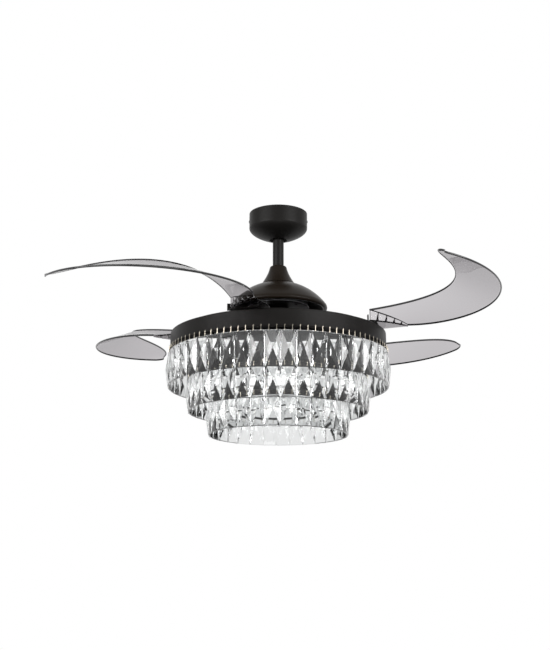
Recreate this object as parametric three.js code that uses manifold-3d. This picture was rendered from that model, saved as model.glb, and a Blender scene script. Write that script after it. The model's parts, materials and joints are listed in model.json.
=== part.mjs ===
// Ceiling fan with four retractable blades and a three-tier crystal light.
// Millimetres, +Z up. The origin is on the ceiling plane, on the fan's axis, and the
// blades stand open. Heights are worked out downwards from the ceiling.
import * as THREE from "three";
import { mergeVertices } from "three/addons/utils/BufferGeometryUtils.js";
import Module from "manifold-3d";

const wasm = await Module();
wasm.setup();

// ---- clearances ----
const GAP = 0.3; // between faces that rest on each other
const RUN = 0.5; // round what turns or is pushed through a hole
const SHEET = 1.6; // pressed steel of the covers and the drum

// ---- ceiling bracket, ball and canopy ----
const BRACKET_W = 28;
const BRACKET_T = 2.5;
const CEILING_HOLE_R = 2.6; // for the screws up into the ceiling box
const CEILING_HOLE_X = 50;
const LEG_X = 32; // inner face of each leg
const SOCKET_H = 6;
const SOCKET_WALL = 10;
const TAB_DROP = 26;
const BALL_R = 25;
const BALL_DROP = 36; // ceiling to the ball's centre
const BALL_TOP_CUT = 18; // centre to the ball's flat top
const BALL_LOW_CUT = 19;
const CANOPY_R = 71.4;
const CANOPY_SIDE = 38; // straight part of its wall
const CANOPY_BOWL = 29.5; // rounded part under it
const CANOPY_HOLE_R = 21.4;
const CANOPY_SCREW_DROP = 20;
const CANOPY_SCREW_R = 2;
const CANOPY_HEAD_R = 4.2;
const RECEIVER = { x: 58, y: 34, z: 10.5 };

// ---- downrod and coupling ----
const ROD_R = 13.7;
const ROD_WALL = 2.4;
const ROD_LENGTH = 154;
const ROD_GRIP = 16; // length held in the coupling
const CROSS_PIN_R = 3;
const SET_SCREW_R = 2.5;
const COUPLING_R = 20;
const COUPLING_H = 30.7;
const COUPLING_FLANGE_R = 33;
const CONE_H = 47;
const CONE_BASE_R = 41.2;

// ---- motor ----
const SHAFT_R = 9;
const SHAFT_BORE_R = 5;
const DOME_SPHERE_R = 149;
const DOME_R = 121.5; // at the rolled rim
const DOME_FLAT_R = 42;
const DOME_BEAD_R = 6;
const NUT_R = 14;
const NUT_H = 5;
const BEARING_R = 17.5;
const BEARING_H = 8;
const MOTOR_R = 73.5;
const MOTOR_FLANGE_W = 2.5; // flange past the motor's wall
const MOTOR_H = 50;
const MOTOR_SHELL = 2.5;
const MOTOR_LID_DROP = 4; // lid under the bearing cup's top
const COVER_CLEAR = 1.87; // motor's shoulder to the cover
const MAGNET_T = 4;
const MAGNET_H = 24;
const MAGNET_SEAT = 2; // under the motor's shoulder
const AIR_GAP = 0.8;
const STATOR_H = 16;
const STATOR_TEETH = 9;
const STATOR_HUB_R = 24;
const WINDING_R = 30; // inside of the coils
const ROTOR_BASE_T = 2.6;
const HUB_TOP_R = 26;
const HUB_LOW_R = 45;
const HUB_DROP = 61.8; // motor down to the blade carrier

// ---- blade carrier and blades ----
const CARRIER_RIM = 11; // past the blades' pivots
const CARRIER_T = 2.5;
const CARRIER_LIFT = 4.5; // above the drum
const BLADES = 4;
const FIRST_PIVOT_DEG = -8.7; // angle of the first pivot about the axis
const FOLD_DEG = 97.5; // turn from open to folded
const PIVOT_INSET = 30; // pivot to the folded blade's outer edge
const PIN_R = 5;
const PIN_HEAD_R = 8;
const PIN_HEAD_T = 2;
const GEAR_T = 2; // thickness of the ring and of the sectors
const SECTOR_R = 36; // pitch radius of the sector on each blade
const TOOTH_DEG = 15; // sector degrees from tooth to tooth
const SECTOR_TEETH = 9;
const BACKLASH = 0.8;
const RING_BAND = 22; // width of the ring under its teeth
const STUD_R = 4;
const STUD_DEG = 30; // from each pivot to its guide stud
const ARM_T = 2;
const ARM_R = 17;
const LUG = { x: 12, y: 3, z: 16 };
const BLADE_T = 2.6;
const BLADE_START_DEG = 159.3; // outer edge, round the arc's centre
const BLADE_END_DEG = 25.9;
const TIP_W = 12;
const ROOT_CORNER = new THREE.Vector2(73.5, -15); // inner edge at the root
const INNER_PULL_1 = new THREE.Vector2(150, 342);
const INNER_PULL_2 = new THREE.Vector2(413, 51);
const ROOT_BOW = 8;
const ROOT_INSET = 31; // outer edge inside its arc, at the root
const INSET_POWER = 9; // how fast it comes back to the arc
const ROOT_ROUND = 16; // root plate round the pin
const ROOT_T = 3.2;
const OUTER_LIFT = [15, 22, 50.5]; // outer edge above the drum: root, pull, tip
const INNER_LIFT = [38, 98, 58];
const RIBS = 4;
const RIB_T = 2;
const RIB_REACH = 18;
const SPRING_R = 9;
const SPRING_WIRE_R = 1.1;
const SPRING_TURNS = 2.5;
const SPRING_PITCH = 2.7;

// ---- drum and light ----
const DRUM_R = 264;
const DRUM_H = 38;
const DRUM_LIP = 12;
const DRUM_LEDGE = 6;
const DRUM_EDGE = 1; // bevel of its upper edge
const FOLD_PROUD = 1; // folded blades past the drum's edge
const TRAY_R = 112;
const TRAY_H = 32;
const BOARD_T = 1.6;
const DIFFUSER_T = 2;
const DIFFUSER_H = 22;
const DRIVER = { x: 70, y: 40, z: 20 };
const RING_T = 2;
const RING_W = 11;
const RING_EDGE = 0.6; // outside the hook pins
const STUDS = 4; // that carry each lower ring
const HANGER_R = 2.5;
const HOOK_R = 1.1;
const HOOK_H = 10.5;
const HOOKS = [2, 1, 1]; // to each crystal of a tier
const CRYSTAL_W = 34.75;
const CRYSTAL_H = 80;
const CRYSTAL_EDGE = 4; // thickness along its edges
const CRYSTAL_CROWN = 8; // thickness where the facets meet
const TIER_STEP = 50; // from each tier's radius to the next
const TIER_DROPS = [0, 59, 115]; // each tier's ring under the drum's lip
const TIER_PROUD = 2; // top tier's radius past the drum's
const SEAM_X = 5.2; // of the joint between crystals that is nearest to -Y

// ---- heights, from the ceiling down ----
const ballZ = -BALL_DROP;
const rodTop = ballZ + BALL_TOP_CUT;
const rodLow = rodTop - ROD_LENGTH;
const couplingTop = rodLow + ROD_GRIP;
const couplingLow = couplingTop - COUPLING_H;
const domeTop = couplingLow - GAP;
const domeSphereZ = domeTop - Math.sqrt(DOME_SPHERE_R ** 2 - DOME_FLAT_R ** 2);
const nutTop = domeTop - SHEET - GAP;
const motorTop = nutTop - NUT_H - 2.1;
const motorLow = motorTop - MOTOR_H;
const baseTop = motorLow - GAP;
const hubLow = baseTop - ROTOR_BASE_T - HUB_DROP;
const carrierTop = hubLow - GAP;
const drumTop = carrierTop - CARRIER_T - CARRIER_LIFT;
const gearLow = carrierTop + GAP;
const armLow = gearLow + GEAR_T + GAP;
const rootLow = armLow + ARM_T + GAP;
const rootTop = rootLow + ROOT_T;
const springLow = rootTop + GAP;
const springHigh = springLow + SPRING_TURNS * SPRING_PITCH + 2 * SPRING_WIRE_R;
const pinHeadLow = springHigh + GAP;
const trayTop = drumTop - SHEET - GAP;
const lipLow = drumTop - DRUM_H;

// ---- radii that follow from the sizes above ----
const foldedR = DRUM_R + FOLD_PROUD;
const pivotR = foldedR - PIVOT_INSET;
const carrierR = pivotR + CARRIER_RIM;
const ringPitchR = pivotR - SECTOR_R;
const module_ = (SECTOR_R * THREE.MathUtils.degToRad(TOOTH_DEG)) / Math.PI;
const ringInnerR = ringPitchR - RING_BAND;
const studRingR = ringInnerR + RING_BAND / 2 - 1.5;
const ringTravelDeg = (FOLD_DEG * SECTOR_R) / ringPitchR;
const motorFlangeR = MOTOR_R + MOTOR_FLANGE_W;
const lidHigh = motorTop - MOTOR_LID_DROP;
const coverClearR = DOME_SPHERE_R - SHEET - COVER_CLEAR;
const lidR = Math.sqrt(coverClearR ** 2 - (lidHigh - domeSphereZ) ** 2);
const shoulderLow = lidHigh - (MOTOR_R - lidR); // a bevel at 45 degrees
const magnetOuterR = MOTOR_R - MOTOR_SHELL - GAP;
const statorR = magnetOuterR - MAGNET_T - AIR_GAP;
const shaftHoleR = SHAFT_R + GAP;
const collarR = SHAFT_R + 3; // shoulders on the shaft
const rotorBoreR = collarR + 2;
const rad = THREE.MathUtils.degToRad;

// ---- solids ----
function solidOf(geometry) {
  const flat = geometry.index ? geometry.toNonIndexed() : geometry;
  const bare = new THREE.BufferGeometry();
  bare.setAttribute("position", flat.getAttribute("position"));
  const merged = mergeVertices(bare, 1e-4);
  const index = merged.index.array;
  const kept = [];
  for (let i = 0; i < index.length; i += 3) {
    const [a, b, c] = [index[i], index[i + 1], index[i + 2]];
    if (a !== b && b !== c && c !== a) kept.push(a, b, c);
  }
  const mesh = new wasm.Mesh({
    numProp: 3,
    vertProperties: merged.attributes.position.array,
    triVerts: new Uint32Array(kept),
  });
  return new wasm.Manifold(mesh);
}

function geometryOf(solid) {
  const mesh = solid.getMesh();
  const geometry = new THREE.BufferGeometry();
  geometry.setAttribute("position", new THREE.BufferAttribute(mesh.vertProperties, 3));
  geometry.setIndex(new THREE.BufferAttribute(mesh.triVerts, 1));
  return geometry;
}

// A closed profile of [radius, height] points turned round the Z axis.
function turned(profile, sides = 32) {
  const points = profile.map(([r, z]) => new THREE.Vector2(Math.max(r, 0), z));
  if (THREE.ShapeUtils.area(points) < 0) points.reverse();
  const onAxis = profile.some(([r]) => r <= 0);
  if (!onAxis) points.push(points[0].clone());
  return solidOf(new THREE.LatheGeometry(points, sides).rotateX(Math.PI / 2));
}

function tube(inner, outer, low, high, sides) {
  return turned([[inner, low], [outer, low], [outer, high], [inner, high]], sides);
}

// A round bar along "x", "y" or "z", from one coordinate to another.
function bar(radius, from, to, { axis = "z", x = 0, y = 0, z = 0, sides = 12 } = {}) {
  const geometry = new THREE.CylinderGeometry(radius, radius, to - from, sides);
  geometry.translate(0, (from + to) / 2, 0);
  if (axis === "z") geometry.rotateX(Math.PI / 2);
  if (axis === "x") geometry.rotateZ(-Math.PI / 2);
  return solidOf(geometry.translate(x, y, z));
}

function block(size, x, y, low) {
  const geometry = new THREE.BoxGeometry(size.x, size.y, size.z);
  return solidOf(geometry.translate(x, y, low + size.z / 2));
}

// A flat outline with optional holes, from one height to another.
function plate(outline, low, high, holes = []) {
  const shape = new THREE.Shape(outline);
  for (const hole of holes) shape.holes.push(new THREE.Path(hole));
  const geometry = new THREE.ExtrudeGeometry(shape, { depth: high - low, bevelEnabled: false });
  return solidOf(geometry.translate(0, 0, low));
}

// Points on an arc, both ends included.
function arc(cx, cy, radius, fromDeg, toDeg, steps) {
  return Array.from({ length: steps + 1 }, (_, i) => {
    const a = rad(fromDeg + ((toDeg - fromDeg) * i) / steps);
    return new THREE.Vector2(cx + radius * Math.cos(a), cy + radius * Math.sin(a));
  });
}

// A slab over a grid: place(u, v) gives x and y, top(u, v) and low(u, v) give its faces.
function slab(uSteps, vSteps, place, top, low) {
  const points = [];
  const row = vSteps + 1;
  for (const height of [top, low])
    for (let i = 0; i <= uSteps; i++)
      for (let j = 0; j <= vSteps; j++) {
        const [u, v] = [i / uSteps, j / vSteps];
        points.push(...place(u, v), height(u, v));
      }
  const under = (uSteps + 1) * row;
  const faces = [];
  const quad = (a, b, c, d) => faces.push(a, b, c, a, c, d);
  const at = (i, j) => i * row + j;
  for (let i = 0; i < uSteps; i++)
    for (let j = 0; j < vSteps; j++) {
      quad(at(i, j), at(i + 1, j), at(i + 1, j + 1), at(i, j + 1));
      quad(under + at(i, j), under + at(i, j + 1), under + at(i + 1, j + 1), under + at(i + 1, j));
    }
  const side = (a, b) => quad(a, a + under, b + under, b);
  for (let i = 0; i < uSteps; i++) {
    side(at(i, 0), at(i + 1, 0));
    side(at(i + 1, vSteps), at(i, vSteps));
  }
  for (let j = 0; j < vSteps; j++) {
    side(at(0, j + 1), at(0, j));
    side(at(uSteps, j), at(uSteps, j + 1));
  }
  const geometry = new THREE.BufferGeometry();
  geometry.setAttribute("position", new THREE.Float32BufferAttribute(points, 3));
  geometry.setIndex(faces);
  const solid = solidOf(geometry);
  if (solid.volume() > 0) return solid;
  for (let k = 0; k < faces.length; k += 3) [faces[k], faces[k + 1]] = [faces[k + 1], faces[k]];
  geometry.setIndex(faces);
  return solidOf(geometry);
}

// A quadratic or cubic pull curve through plain numbers.
function pull(values, t) {
  if (values.length === 1) return values[0];
  return pull(values.slice(1), t) * t + pull(values.slice(0, -1), t) * (1 - t);
}

// ---- ceiling end ----
// Outer face of the bracket's tabs: its corners clear the canopy's wall.
const tabX = Math.sqrt((CANOPY_R - SHEET - 3 * GAP) ** 2 - (BRACKET_W / 2) ** 2);
const socketR = LEG_X + BRACKET_T;

function hangerBracket() {
  const top = block({ x: 2 * tabX, y: BRACKET_W, z: BRACKET_T }, 0, 0, -BRACKET_T);
  const socketTop = ballZ - SOCKET_H - 4;
  const socketLow = socketTop - SOCKET_H;
  const seat = (z) => Math.sqrt((BALL_R + 2 * GAP) ** 2 - (ballZ - z) ** 2);
  const ring = turned([
    [seat(socketLow), socketLow],
    [socketR, socketLow],
    [socketR, socketTop],
    [seat(socketTop), socketTop],
  ], 20);
  const slot = block({ x: 2 * (ROD_R + 1.5), y: socketR + 5, z: SOCKET_H * 3 }, 0, -(socketR + 5) / 2,
    socketLow - SOCKET_H);
  let solid = top.add(ring.subtract(slot));
  for (const side of [-1, 1]) {
    const leg = { x: BRACKET_T, y: SOCKET_WALL * 2, z: -socketLow };
    solid = solid.add(block(leg, side * (LEG_X + BRACKET_T / 2), 0, socketLow));
    const tab = { x: BRACKET_T, y: SOCKET_WALL * 2, z: TAB_DROP };
    solid = solid.add(block(tab, side * (tabX - BRACKET_T / 2), 0, -TAB_DROP));
    solid = solid.subtract(bar(CEILING_HOLE_R, -BRACKET_T - 1, 1, { x: side * CEILING_HOLE_X, sides: 8 }));
  }
  const holes = bar(CANOPY_SCREW_R + GAP, -CANOPY_R, CANOPY_R, { axis: "x", z: -CANOPY_SCREW_DROP, sides: 12 });
  return solid.subtract(holes.subtract(bar(LEG_X + 8, -CANOPY_R, 0, { sides: 12 })));
}

function receiver() {
  return block(RECEIVER, 0, 0, -BRACKET_T - GAP - RECEIVER.z);
}

function hangerBall() {
  const steps = 5;
  const a = Math.asin(BALL_TOP_CUT / BALL_R);
  const b = -Math.asin(BALL_LOW_CUT / BALL_R);
  const curve = Array.from({ length: steps + 1 }, (_, i) => {
    const t = b + ((a - b) * i) / steps;
    return [BALL_R * Math.cos(t), ballZ + BALL_R * Math.sin(t)];
  });
  const bore = ROD_R + GAP;
  const ball = turned([[bore, curve[0][1]], ...curve, [bore, curve[steps][1]]], 20);
  const pin = bar(CROSS_PIN_R + GAP, -BALL_R, BALL_R, { axis: "y", z: ballPinZ, sides: 12 });
  const screw = bar(SET_SCREW_R + GAP, 0, BALL_R, { axis: "x", z: ballZ, sides: 12 });
  return ball.subtract(pin).subtract(screw);
}

const ballPinZ = ballZ + 9;
const ballPinHalf = Math.sqrt(BALL_R ** 2 - (ballPinZ - ballZ + CROSS_PIN_R) ** 2) - 1;
const couplingPinZ = rodLow + ROD_GRIP / 2;

function downrod() {
  const solid = tube(ROD_R - ROD_WALL, ROD_R, rodLow, rodTop, 20);
  const pin = (z) => bar(CROSS_PIN_R + GAP, -ROD_R * 2, ROD_R * 2, { axis: "y", z, sides: 12 });
  return solid.subtract(pin(ballPinZ)).subtract(pin(couplingPinZ));
}

function crossPin(half, z) {
  return bar(CROSS_PIN_R, -half, half, { axis: "y", z, sides: 12 });
}

function setScrew(reach, z) {
  return bar(SET_SCREW_R, ROD_R + GAP, reach, { axis: "x", z, sides: 12 });
}

function canopy() {
  const top = -GAP;
  const bend = top - CANOPY_SIDE;
  const low = bend - CANOPY_BOWL;
  const steps = 4;
  const bowl = (inset, from, to) => Array.from({ length: steps + 1 }, (_, i) => {
    const t = from + ((to - from) * i) / steps;
    const r = pull([CANOPY_R, CANOPY_R - 0.4, CANOPY_R * 0.7, CANOPY_HOLE_R], t);
    const z = pull([bend, bend - 9.5, low + 8.5, low], t);
    return [r - inset * Math.cos((t * Math.PI) / 2.4), z + inset * Math.sin((t * Math.PI) / 2)];
  });
  const shell = turned([
    [CANOPY_R - SHEET, top], [CANOPY_R, top], ...bowl(0, 0, 1), ...bowl(SHEET, 1, 0),
  ].map(([r, z]) => [Math.max(r, CANOPY_HOLE_R), z]), 32);
  const holes = bar(CANOPY_SCREW_R + GAP, -CANOPY_R - 5, CANOPY_R + 5,
    { axis: "x", z: -CANOPY_SCREW_DROP, sides: 12 });
  return shell.subtract(holes);
}

function canopyScrew(side) {
  const z = -CANOPY_SCREW_DROP;
  const head = bar(CANOPY_HEAD_R, CANOPY_R + GAP, CANOPY_R + GAP + 2.6, { axis: "x", z, sides: 14 });
  const shank = bar(CANOPY_SCREW_R, tabX - BRACKET_T - 4, CANOPY_R + 1, { axis: "x", z, sides: 12 });
  const solid = head.add(shank);
  return side > 0 ? solid : solid.rotate([0, 0, 180]);
}

// ---- coupling and covers ----
function coupling() {
  const socketFloor = rodLow - GAP;
  const solid = turned([
    [shaftHoleR, couplingLow],
    [COUPLING_FLANGE_R, couplingLow],
    [COUPLING_FLANGE_R, couplingLow + 4],
    [COUPLING_R, couplingLow + 5],
    [COUPLING_R, couplingTop],
    [ROD_R + GAP, couplingTop],
    [ROD_R + GAP, socketFloor],
    [shaftHoleR, socketFloor],
  ], 20);
  const pin = bar(CROSS_PIN_R + GAP, -COUPLING_R * 2, COUPLING_R * 2, { axis: "y", z: couplingPinZ, sides: 12 });
  const screw = bar(SET_SCREW_R + GAP, 0, COUPLING_R * 2, { axis: "x", z: couplingPinZ, sides: 12 });
  return solid.subtract(pin).subtract(screw);
}

function couplingCover() {
  const low = domeTop + GAP;
  const high = low + CONE_H;
  const steps = 4;
  const flare = (inset) => Array.from({ length: steps + 1 }, (_, i) => {
    const t = i / steps;
    const r = pull([CONE_BASE_R, CONE_BASE_R * 0.75, ROD_R * 1.68, ROD_R * 1.43], t);
    return [r - inset, pull([low, low + CONE_H * 0.31, low + CONE_H * 0.61, high - 3], t)];
  });
  const mouth = ROD_R + RUN;
  return turned([
    ...flare(0), [ROD_R * 1.28, high - 0.8], [mouth, high],
    [mouth, high - 3.4], ...flare(SHEET).reverse(),
  ], 24);
}

function motorCover() {
  const cap = 5;
  const bead = 3;
  const rimAngle = Math.asin((DOME_R - 1) / DOME_SPHERE_R);
  const flatAngle = Math.asin(DOME_FLAT_R / DOME_SPHERE_R);
  const curve = (radius, from, to) => Array.from({ length: cap + 1 }, (_, i) => {
    const a = from + ((to - from) * i) / cap;
    return [radius * Math.sin(a), domeSphereZ + radius * Math.cos(a)];
  });
  const rimZ = domeSphereZ + DOME_SPHERE_R * Math.cos(rimAngle);
  const roll = Array.from({ length: bead + 1 }, (_, i) => {
    const a = rad(15 - (105 * i) / bead);
    return [DOME_R - DOME_BEAD_R + DOME_BEAD_R * Math.cos(a), rimZ - 5 + DOME_BEAD_R * Math.sin(a)];
  });
  const inner = DOME_SPHERE_R - SHEET;
  return turned([
    [shaftHoleR, domeTop], ...curve(DOME_SPHERE_R, flatAngle, rimAngle), ...roll,
    [DOME_R - DOME_BEAD_R - 2, rimZ - 3], ...curve(inner, rimAngle - 0.05, flatAngle),
    [shaftHoleR, domeTop - SHEET],
  ], 32);
}

function hexNut(top, height) {
  const hex = arc(0, 0, NUT_R, 0, 300, 5);
  return plate(hex, top - height, top, [arc(0, 0, shaftHoleR, 0, 330, 11)]);
}

// ---- motor ----
const upperBearingTop = motorTop - 3;
const lowerBearingTop = baseTop - 6;
const magnetTop = shoulderLow - MAGNET_SEAT;
const statorTop = magnetTop - (MAGNET_H - STATOR_H) / 2;
const lightNutTop = trayTop - SHEET - GAP;
const lightNutH = 6;

function motorShaft() {
  const top = rodLow - 2;
  const low = lightNutTop - lightNutH - 3;
  const bearingSeat = lowerBearingTop - BEARING_H - GAP;
  const panSeat = drumTop + GAP;
  return turned([
    [SHAFT_BORE_R, low],
    [SHAFT_R, low],
    [SHAFT_R, panSeat],
    [collarR, panSeat],
    [collarR, panSeat + 3],
    [SHAFT_R, panSeat + 3],
    [SHAFT_R, bearingSeat - 3],
    [collarR, bearingSeat - 3],
    [collarR, bearingSeat],
    [SHAFT_R, bearingSeat],
    [SHAFT_R, top],
    [SHAFT_BORE_R, top],
  ], 12);
}

function bearing(top) {
  return tube(shaftHoleR, BEARING_R, top - BEARING_H, top, 20);
}

function rotorHousing() {
  const seat = BEARING_R + GAP;
  const hub = seat + 3.2;
  const lip = SHAFT_R + 4;
  const cupLow = upperBearingTop - BEARING_H - GAP;
  return turned([
    [seat, motorTop],
    [hub, motorTop],
    [hub, lidHigh],
    [lidR, lidHigh],
    [MOTOR_R, shoulderLow],
    [MOTOR_R, motorLow + 2.5],
    [motorFlangeR, motorLow + 2.5],
    [motorFlangeR, motorLow],
    [MOTOR_R - MOTOR_SHELL, motorLow],
    [MOTOR_R - MOTOR_SHELL, shoulderLow - 1],
    [lidR - 1, lidHigh - MOTOR_SHELL],
    [hub, lidHigh - MOTOR_SHELL],
    [hub, cupLow - 2.4],
    [lip, cupLow - 2.4],
    [lip, cupLow],
    [seat, cupLow],
  ], 24);
}

function magnetRing() {
  return tube(magnetOuterR - MAGNET_T, magnetOuterR, magnetTop - MAGNET_H, magnetTop, 24);
}

// One outline of the lamination stack, grown by "extra" all round.
function statorOutline(extra) {
  const hubR = STATOR_HUB_R + extra;
  const step = 360 / STATOR_TEETH;
  const points = [];
  for (let i = 0; i < STATOR_TEETH; i++) {
    const middle = i * step;
    const neck = (r) => THREE.MathUtils.radToDeg(Math.asin((6 + extra) / r));
    const tip = step * 0.42 + THREE.MathUtils.radToDeg(extra / statorR);
    const at = (r, deg) => points.push(...arc(0, 0, r, middle + deg, middle + deg, 1).slice(1));
    at(hubR, -neck(hubR));
    at(statorR - 5 - extra, -neck(statorR - 5));
    at(statorR - 3 - extra, -tip);
    for (const k of [-1, 0, 1]) at(statorR + extra, tip * k);
    at(statorR - 3 - extra, tip);
    at(statorR - 5 - extra, neck(statorR - 5));
    at(hubR, neck(hubR));
  }
  return points;
}

function statorCore() {
  const bore = arc(0, 0, shaftHoleR, 0, 330, 11);
  return plate(statorOutline(0), statorTop - STATOR_H, statorTop, [bore]);
}

function statorWinding() {
  const wire = 5;
  const ring = tube(WINDING_R, statorR - 8, statorTop - STATOR_H - wire, statorTop + wire, 27);
  const slots = plate(statorOutline(GAP), statorTop - STATOR_H - GAP, statorTop + GAP);
  return ring.subtract(slots);
}

function rotorBase() {
  const seat = BEARING_R + GAP;
  const platLow = baseTop - ROTOR_BASE_T;
  const cupLow = lowerBearingTop - BEARING_H - GAP;
  const cupR = seat + 3.2;
  return turned([
    [seat, baseTop],
    [motorFlangeR, baseTop],
    [motorFlangeR, platLow],
    [HUB_TOP_R, platLow],
    [HUB_TOP_R, platLow - 20],
    [HUB_LOW_R - 8, hubLow + 12],
    [HUB_LOW_R, hubLow],
    [rotorBoreR, hubLow],
    [rotorBoreR, cupLow - 6],
    [cupR - 3, cupLow - 6],
    [cupR - 3, cupLow - 3],
    [rotorBoreR, cupLow - 3],
    [rotorBoreR, cupLow],
    [seat, cupLow],
  ], 24);
}

// ---- blade carrier and synchroniser ----
// Radius and half-angle (degrees) down one involute flank, from root to tip.
function flank(pitchR) {
  const pressure = rad(20);
  const baseR = pitchR * Math.cos(pressure);
  const involute = (r) => {
    const a = Math.acos(Math.min(1, baseR / r));
    return Math.tan(a) - a;
  };
  const half = (Math.PI * module_ - BACKLASH) / 4 / pitchR;
  const radii = [pitchR - 1.15 * module_, pitchR + 0.85 * module_];
  return radii.map((r) => {
    const flat = Math.max(r, baseR);
    return [r, THREE.MathUtils.radToDeg(half + involute(pitchR) - involute(flat))];
  });
}

// Outline points of one tooth at an angle, root to tip and back.
function tooth(pitchR, deg) {
  const side = flank(pitchR);
  const at = (r, a) => arc(0, 0, r, a, a, 1)[0];
  return [...side.map(([r, h]) => at(r, deg - h)), ...side.reverse().map(([r, h]) => at(r, deg + h))];
}

const ringToothDeg = (TOOTH_DEG * SECTOR_R) / ringPitchR;
const pivotDeg = (k) => FIRST_PIVOT_DEG + (360 / BLADES) * k;

function syncRing() {
  const outline = [];
  const teeth = SECTOR_TEETH;
  const rootR = ringPitchR - 1.15 * module_;
  for (let k = 0; k < BLADES; k++) {
    const middle = pivotDeg(k);
    for (let i = teeth - 2; i >= -1; i--) outline.push(...tooth(ringPitchR, middle - i * ringToothDeg));
    const from = middle + 2 * ringToothDeg;
    const to = pivotDeg(k + 1) - teeth * ringToothDeg + ringToothDeg;
    outline.push(...arc(0, 0, rootR, from, to, 6));
  }
  const holes = [arc(0, 0, ringInnerR, 0, 350, 35)];
  const half = STUD_R + RUN;
  for (let k = 0; k < BLADES; k++) {
    const stud = pivotDeg(k) + STUD_DEG;
    const end = THREE.MathUtils.radToDeg(half / studRingR);
    const from = stud - ringTravelDeg - end;
    const to = stud + end;
    holes.push([...arc(0, 0, studRingR + half, from, to, 3), ...arc(0, 0, studRingR - half, to, from, 3)]);
  }
  return plate(outline, gearLow, gearLow + GEAR_T, holes);
}

function bladeCarrier() {
  let solid = tube(rotorBoreR, carrierR, carrierTop - CARRIER_T, carrierTop, 44);
  for (let k = 0; k < BLADES; k++) {
    const pin = arc(0, 0, pivotR, pivotDeg(k), pivotDeg(k), 1)[0];
    const stud = arc(0, 0, studRingR, pivotDeg(k) + STUD_DEG, pivotDeg(k) + STUD_DEG, 1)[0];
    const reach = [carrierTop - CARRIER_T - 1, carrierTop + 1];
    solid = solid.subtract(bar(PIN_R + GAP, ...reach, { x: pin.x, y: pin.y, sides: 8 }));
    solid = solid.subtract(bar(STUD_R / 2 + GAP, ...reach, { x: stud.x, y: stud.y, sides: 6 }));
  }
  return solid;
}

// Shouldered stud that guides the ring through a slot and stops it at both ends.
function guideStud() {
  const shoulderLow = carrierTop + GAP;
  const shoulderHigh = gearLow + GEAR_T + GAP;
  return turned([
    [0, carrierTop - CARRIER_T],
    [STUD_R / 2, carrierTop - CARRIER_T],
    [STUD_R / 2, shoulderLow],
    [STUD_R, shoulderLow],
    [STUD_R, shoulderHigh],
    [STUD_R + 2.5, shoulderHigh],
    [STUD_R + 2.5, shoulderHigh + 1.4],
    [0, shoulderHigh + 1.4],
  ], 6);
}

// ---- blades: made with the pivot at the origin and the outer arc's centre on +X ----
function pivotPin() {
  const headLow = carrierTop - CARRIER_T - GAP;
  return turned([
    [0, headLow - PIN_HEAD_T + 0.5],
    [PIN_HEAD_R, headLow - PIN_HEAD_T + 0.5],
    [PIN_HEAD_R, headLow],
    [PIN_R, headLow],
    [PIN_R, pinHeadLow],
    [PIN_HEAD_R + 3, pinHeadLow],
    [PIN_HEAD_R + 2, pinHeadLow + PIN_HEAD_T],
    [0, pinHeadLow + PIN_HEAD_T],
  ], 8);
}

function returnSpring() {
  const steps = Math.round(SPRING_TURNS * 7);
  const points = Array.from({ length: steps + 1 }, (_, i) => {
    const turn = (i / steps) * SPRING_TURNS;
    const a = turn * 2 * Math.PI;
    return new THREE.Vector3(SPRING_R * Math.cos(a), SPRING_R * Math.sin(a),
      springLow + SPRING_WIRE_R + turn * SPRING_PITCH);
  });
  const section = new THREE.Shape(arc(0, 0, SPRING_WIRE_R, 0, 270, 3));
  const path = new THREE.CatmullRomCurve3(points);
  return solidOf(new THREE.ExtrudeGeometry(section, { steps, extrudePath: path, bevelEnabled: false }));
}

function outerEdge(t) {
  const deg = BLADE_START_DEG + (BLADE_END_DEG - BLADE_START_DEG) * t;
  return arc(pivotR, 0, foldedR - ROOT_INSET * (1 - t) ** INSET_POWER, deg, deg, 1)[0];
}

function innerEdge(t) {
  const tip = arc(pivotR, 0, foldedR - TIP_W, BLADE_END_DEG, BLADE_END_DEG, 1)[0];
  const line = [ROOT_CORNER, INNER_PULL_1, INNER_PULL_2, tip];
  return new THREE.Vector2(pull(line.map((p) => p.x), t), pull(line.map((p) => p.y), t));
}

// Direction across the root, from the outer edge to the inner one, and square to it.
const rootRun = innerEdge(0).sub(outerEdge(0));
const rootOut = new THREE.Vector2(-rootRun.y, rootRun.x).normalize();

// A point of the blade: t runs from root to tip, s from the outer edge to the inner.
function bladePlace(t, s) {
  const bow = ROOT_BOW * 4 * s * (1 - s) * (1 - t) ** 2;
  const p = outerEdge(t).lerp(innerEdge(t), s).addScaledVector(rootOut, bow);
  return [p.x, p.y];
}

function bladeLift(t, s) {
  return drumTop + pull(OUTER_LIFT, t) * (1 - s) + pull(INNER_LIFT, t) * s + BLADE_T;
}

function bladeRoot() {
  const outer = outerEdge(0);
  const round = arc(0, 0, ROOT_ROUND, 160, 280, 8);
  const rim = Array.from({ length: 6 }, (_, i) => new THREE.Vector2(...bladePlace(0, 1 - i / 6)));
  const hole = arc(0, 0, PIN_R + RUN, 0, 315, 7);
  let solid = plate([outer, ...round, ...rim], rootLow, rootTop, [hole]);
  const wallPlace = (s, v) => {
    const [x, y] = bladePlace(0, s);
    return [x - rootOut.x * BLADE_T * v, y - rootOut.y * BLADE_T * v];
  };
  const wallTop = (s) => bladeLift(0, s) - BLADE_T / 2;
  solid = solid.add(slab(6, 1, wallPlace, wallTop, () => rootLow));
  for (let i = 0; i < RIBS; i++) {
    const s = (i + 1) / (RIBS + 1);
    const [x, y] = bladePlace(0, s);
    const place = (u, v) => {
      const out = -1 - u * RIB_REACH;
      const across = (v - 0.5) * RIB_T;
      return [x + rootOut.x * out - rootOut.y * across, y + rootOut.y * out + rootOut.x * across];
    };
    const top = (u) => (wallTop(s) - 1) * (1 - u) + (rootTop + 0.5) * u;
    solid = solid.add(slab(1, 1, place, top, () => rootTop - 0.5));
  }
  return solid;
}

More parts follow.
